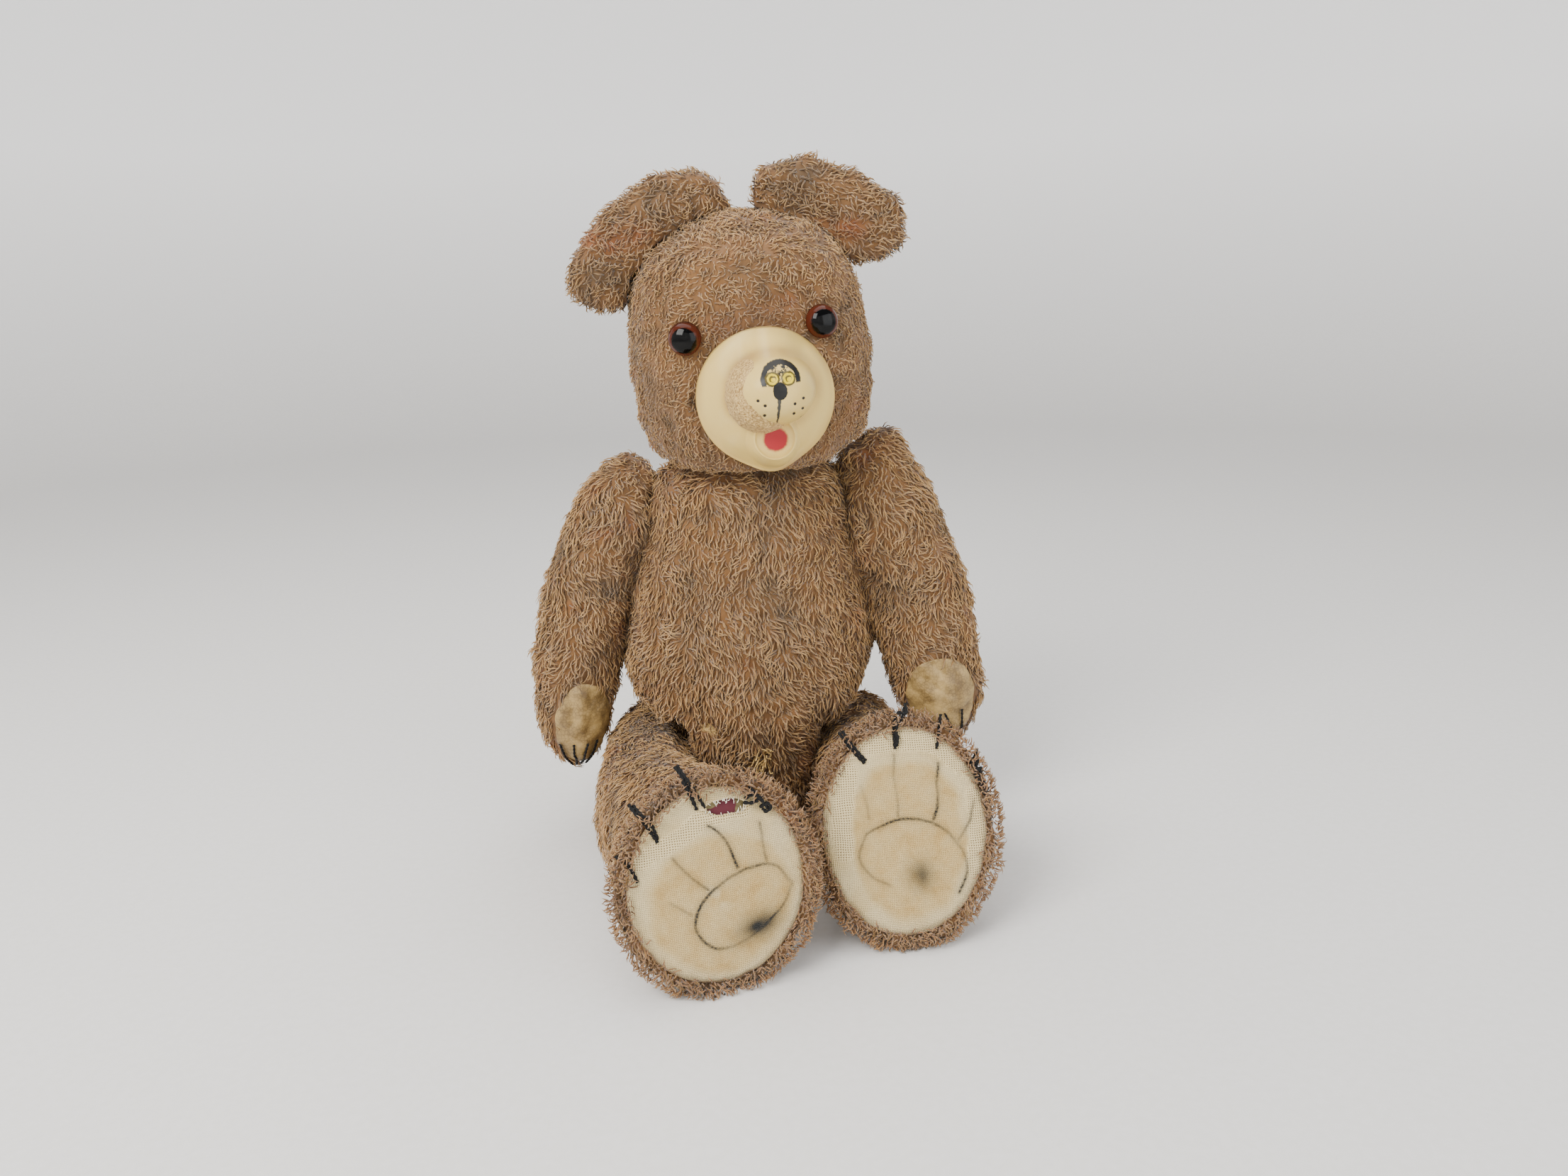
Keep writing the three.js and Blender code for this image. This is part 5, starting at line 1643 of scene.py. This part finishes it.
def addHandClaws(side, plan, hide):
    tree = BVHTree.FromPolygons([v.co for v in hide.data.vertices], [p.vertices for p in hide.data.polygons])
    for number in range(1, 5):
        node = f"hand_claw_{side}_{number}"
        route = []
        for place in middleLine(node):
            near, normal = tree.find_nearest(Vector(place) * mm)[:2]
            route.append(np.array(near + normal * (plan["thick"] + 0.9) * mm) / mm)
        claw = layYarn(f"hand_stitch_{side}_{number}", [route], plan["thick"] * 0.85, yarnMaterial)
        fit(claw, f"arm_{side}", "claw_yarn", node)


# Hand pads: oilcloth gone stiff, cracked and shiny with handling

palmPlan = {"cloth": 0.9, "lift": 1.0, "cream": "#b3965e", "olive": "#6f5732", "crack": "#5f4a2b"}


def palmMaterial(plan):
    # Coated cloth, worn to a leathery skin: low sheen with fine dark cracks
    material, tree, shader = newMaterial("cracked oilcloth", Roughness=0.5)
    coords = addNode(tree, "ShaderNodeTexCoord").outputs["Object"]
    cloud = addNode(tree, "ShaderNodeTexNoise", {"Vector": coords, "Scale": 110.0, "Detail": 5.0}).outputs[0]
    cells = addNode(tree, "ShaderNodeTexVoronoi", {
        "Vector": coords, "Scale": 620.0}, feature="DISTANCE_TO_EDGE").outputs["Distance"]
    colour = addNode(tree, "ShaderNodeValToRGB", {0: cloud}, stops=[
        (0.3, plan["olive"]), (0.65, plan["cream"])]).outputs[0]
    crack = addNode(tree, "ShaderNodeMapRange", {0: cells, 1: 0.0, 2: 0.12, 3: 0.75, 4: 0.0}).outputs[0]
    worn = addNode(tree, "ShaderNodeMapRange", {0: cloud, 1: 0.4, 2: 0.65, 3: 1.0, 4: 0.2}).outputs[0]
    lines = addNode(tree, "ShaderNodeMath", {0: crack, 1: worn}, operation="MULTIPLY").outputs[0]
    colour = coat(tree, colour, plan["crack"], lines)
    tree.links.new(colour, shader.inputs["Base Color"])
    relief = addNode(tree, "ShaderNodeBump", {"Height": cells, "Strength": 0.5, "Distance": 0.25 * mm})
    tree.links.new(relief.outputs[0], shader.inputs["Normal"])
    return material


palmFinish = palmMaterial(palmPlan)


def addPalm(side, plan, hide, seed):
    # The pad lies on the hand where the plush stops, as one smooth patch of its surface
    reach = treeOf([f"hand_pad_{side}"])
    bm = bmesh.new()
    bm.from_mesh(hide.data)
    far = [v for v in bm.verts if reach.find_nearest(v.co, 3.4 * mm)[0] is None]
    bmesh.ops.delete(bm, geom=far, context="VERTS")
    bmesh.ops.delete(bm, geom=[v for v in bm.verts if not v.link_faces], context="VERTS")
    for _ in range(8):
        rim = [v for v in bm.verts if v.is_boundary]
        goals = []
        for v in rim:
            near = [e.other_vert(v) for e in v.link_edges if e.is_boundary]
            goals.append(sum((n.co for n in near), Vector()) / len(near))
        for v, goal in zip(rim, goals):
            v.co = v.co.lerp(goal, 0.6)
    mesh = bpy.data.meshes.new(f"hand_patch_{side}")
    bm.to_mesh(mesh)
    bm.free()
    dropAttributes(mesh, "comb", "cover", "pile", "soil", "rust")
    piece = newPiece(f"hand_patch_{side}", mesh, palmFinish)
    finer = piece.modifiers.new("finer", "SUBSURF")
    finer.levels = finer.render_levels = 2
    bake(piece)
    places, normals = placesOf(piece.data), normalsOf(piece.data)
    lift = plan["lift"] + 0.5 * drift(places, 6, seed)[:, 0] + 0.25 * drift(places, 2.5, seed + 1)[:, 0]
    setPlaces(piece.data, places + normals * (lift * mm)[:, None])
    layer = piece.modifiers.new("cloth", "SOLIDIFY")
    layer.thickness = plan["cloth"] * mm
    layer.offset = -1
    bake(piece)
    piece.data.shade_smooth()
    fit(piece, f"arm_{side}", "hand_pad_cloth", f"hand_pad_{side}")
    print(side, "palm made")


# Inside: wood wool, card discs and steel pins

def insideMaterials():
    # Steel wire, drawn and dulled: grey with a soft streaked shine
    steel, tree, shader = newMaterial("dull drawn steel wire", Metallic=1.0, Roughness=0.4)
    coords = addNode(tree, "ShaderNodeTexCoord").outputs["Object"]
    streak = addNode(tree, "ShaderNodeTexNoise", {"Vector": coords, "Scale": 700.0, "Detail": 3.0}).outputs[0]
    colour = addNode(tree, "ShaderNodeValToRGB", {0: streak}, stops=[(0.3, "#77726b"), (0.7, "#a9a59d")])
    tree.links.new(colour.outputs[0], shader.inputs["Base Color"])
    for name, node in frame["nodes"].items():
        finish = None
        if "stuffing" in name:
            finish = woolMaterial
        elif "disc" in name:
            finish = cardMaterial
        elif "pin" in name or "shank" in name:
            finish = steel
        if finish:
            for slot in node.material_slots:
                slot.material = finish


insideMaterials()


# Everything in order

legPlan["rim"] = {"left": (36.3, 46), "right": (37.4, 42)}
legPlan["fringe"] = {
    # Rows across the seam: how far outside it, how high, and the way the pile leans
    "rows": ((-1.2, 0.9, (0.1, 1)), (1.4, 2.6, (0.5, 0.8)), (4.4, 1.4, (0.9, 0.2)), (6.4, -4, (1, -0.6))),
    "gap": 0.85, "length": 0.66, "lift": 0.35, "stray": 1.5,
}

addTorso(torsoPlan)
addWoolStrands(torsoPlan)
addHead(headPlan)
for number, side in enumerate(sides):
    addEar(side, earPlan, 20 + 7 * number)
    addArm(side, armPlan, 40 + 7 * number)
    addLeg(side, legPlan, 60 + 7 * number)
    addEye(side, eyePlan)
    addSole(side, solePlan, 80 + 7 * number)
    addSoleClaws(side, clawPlan)
    print(side, "ear, arm, leg, eye and sole made")
addMuzzle(muzzlePlan)
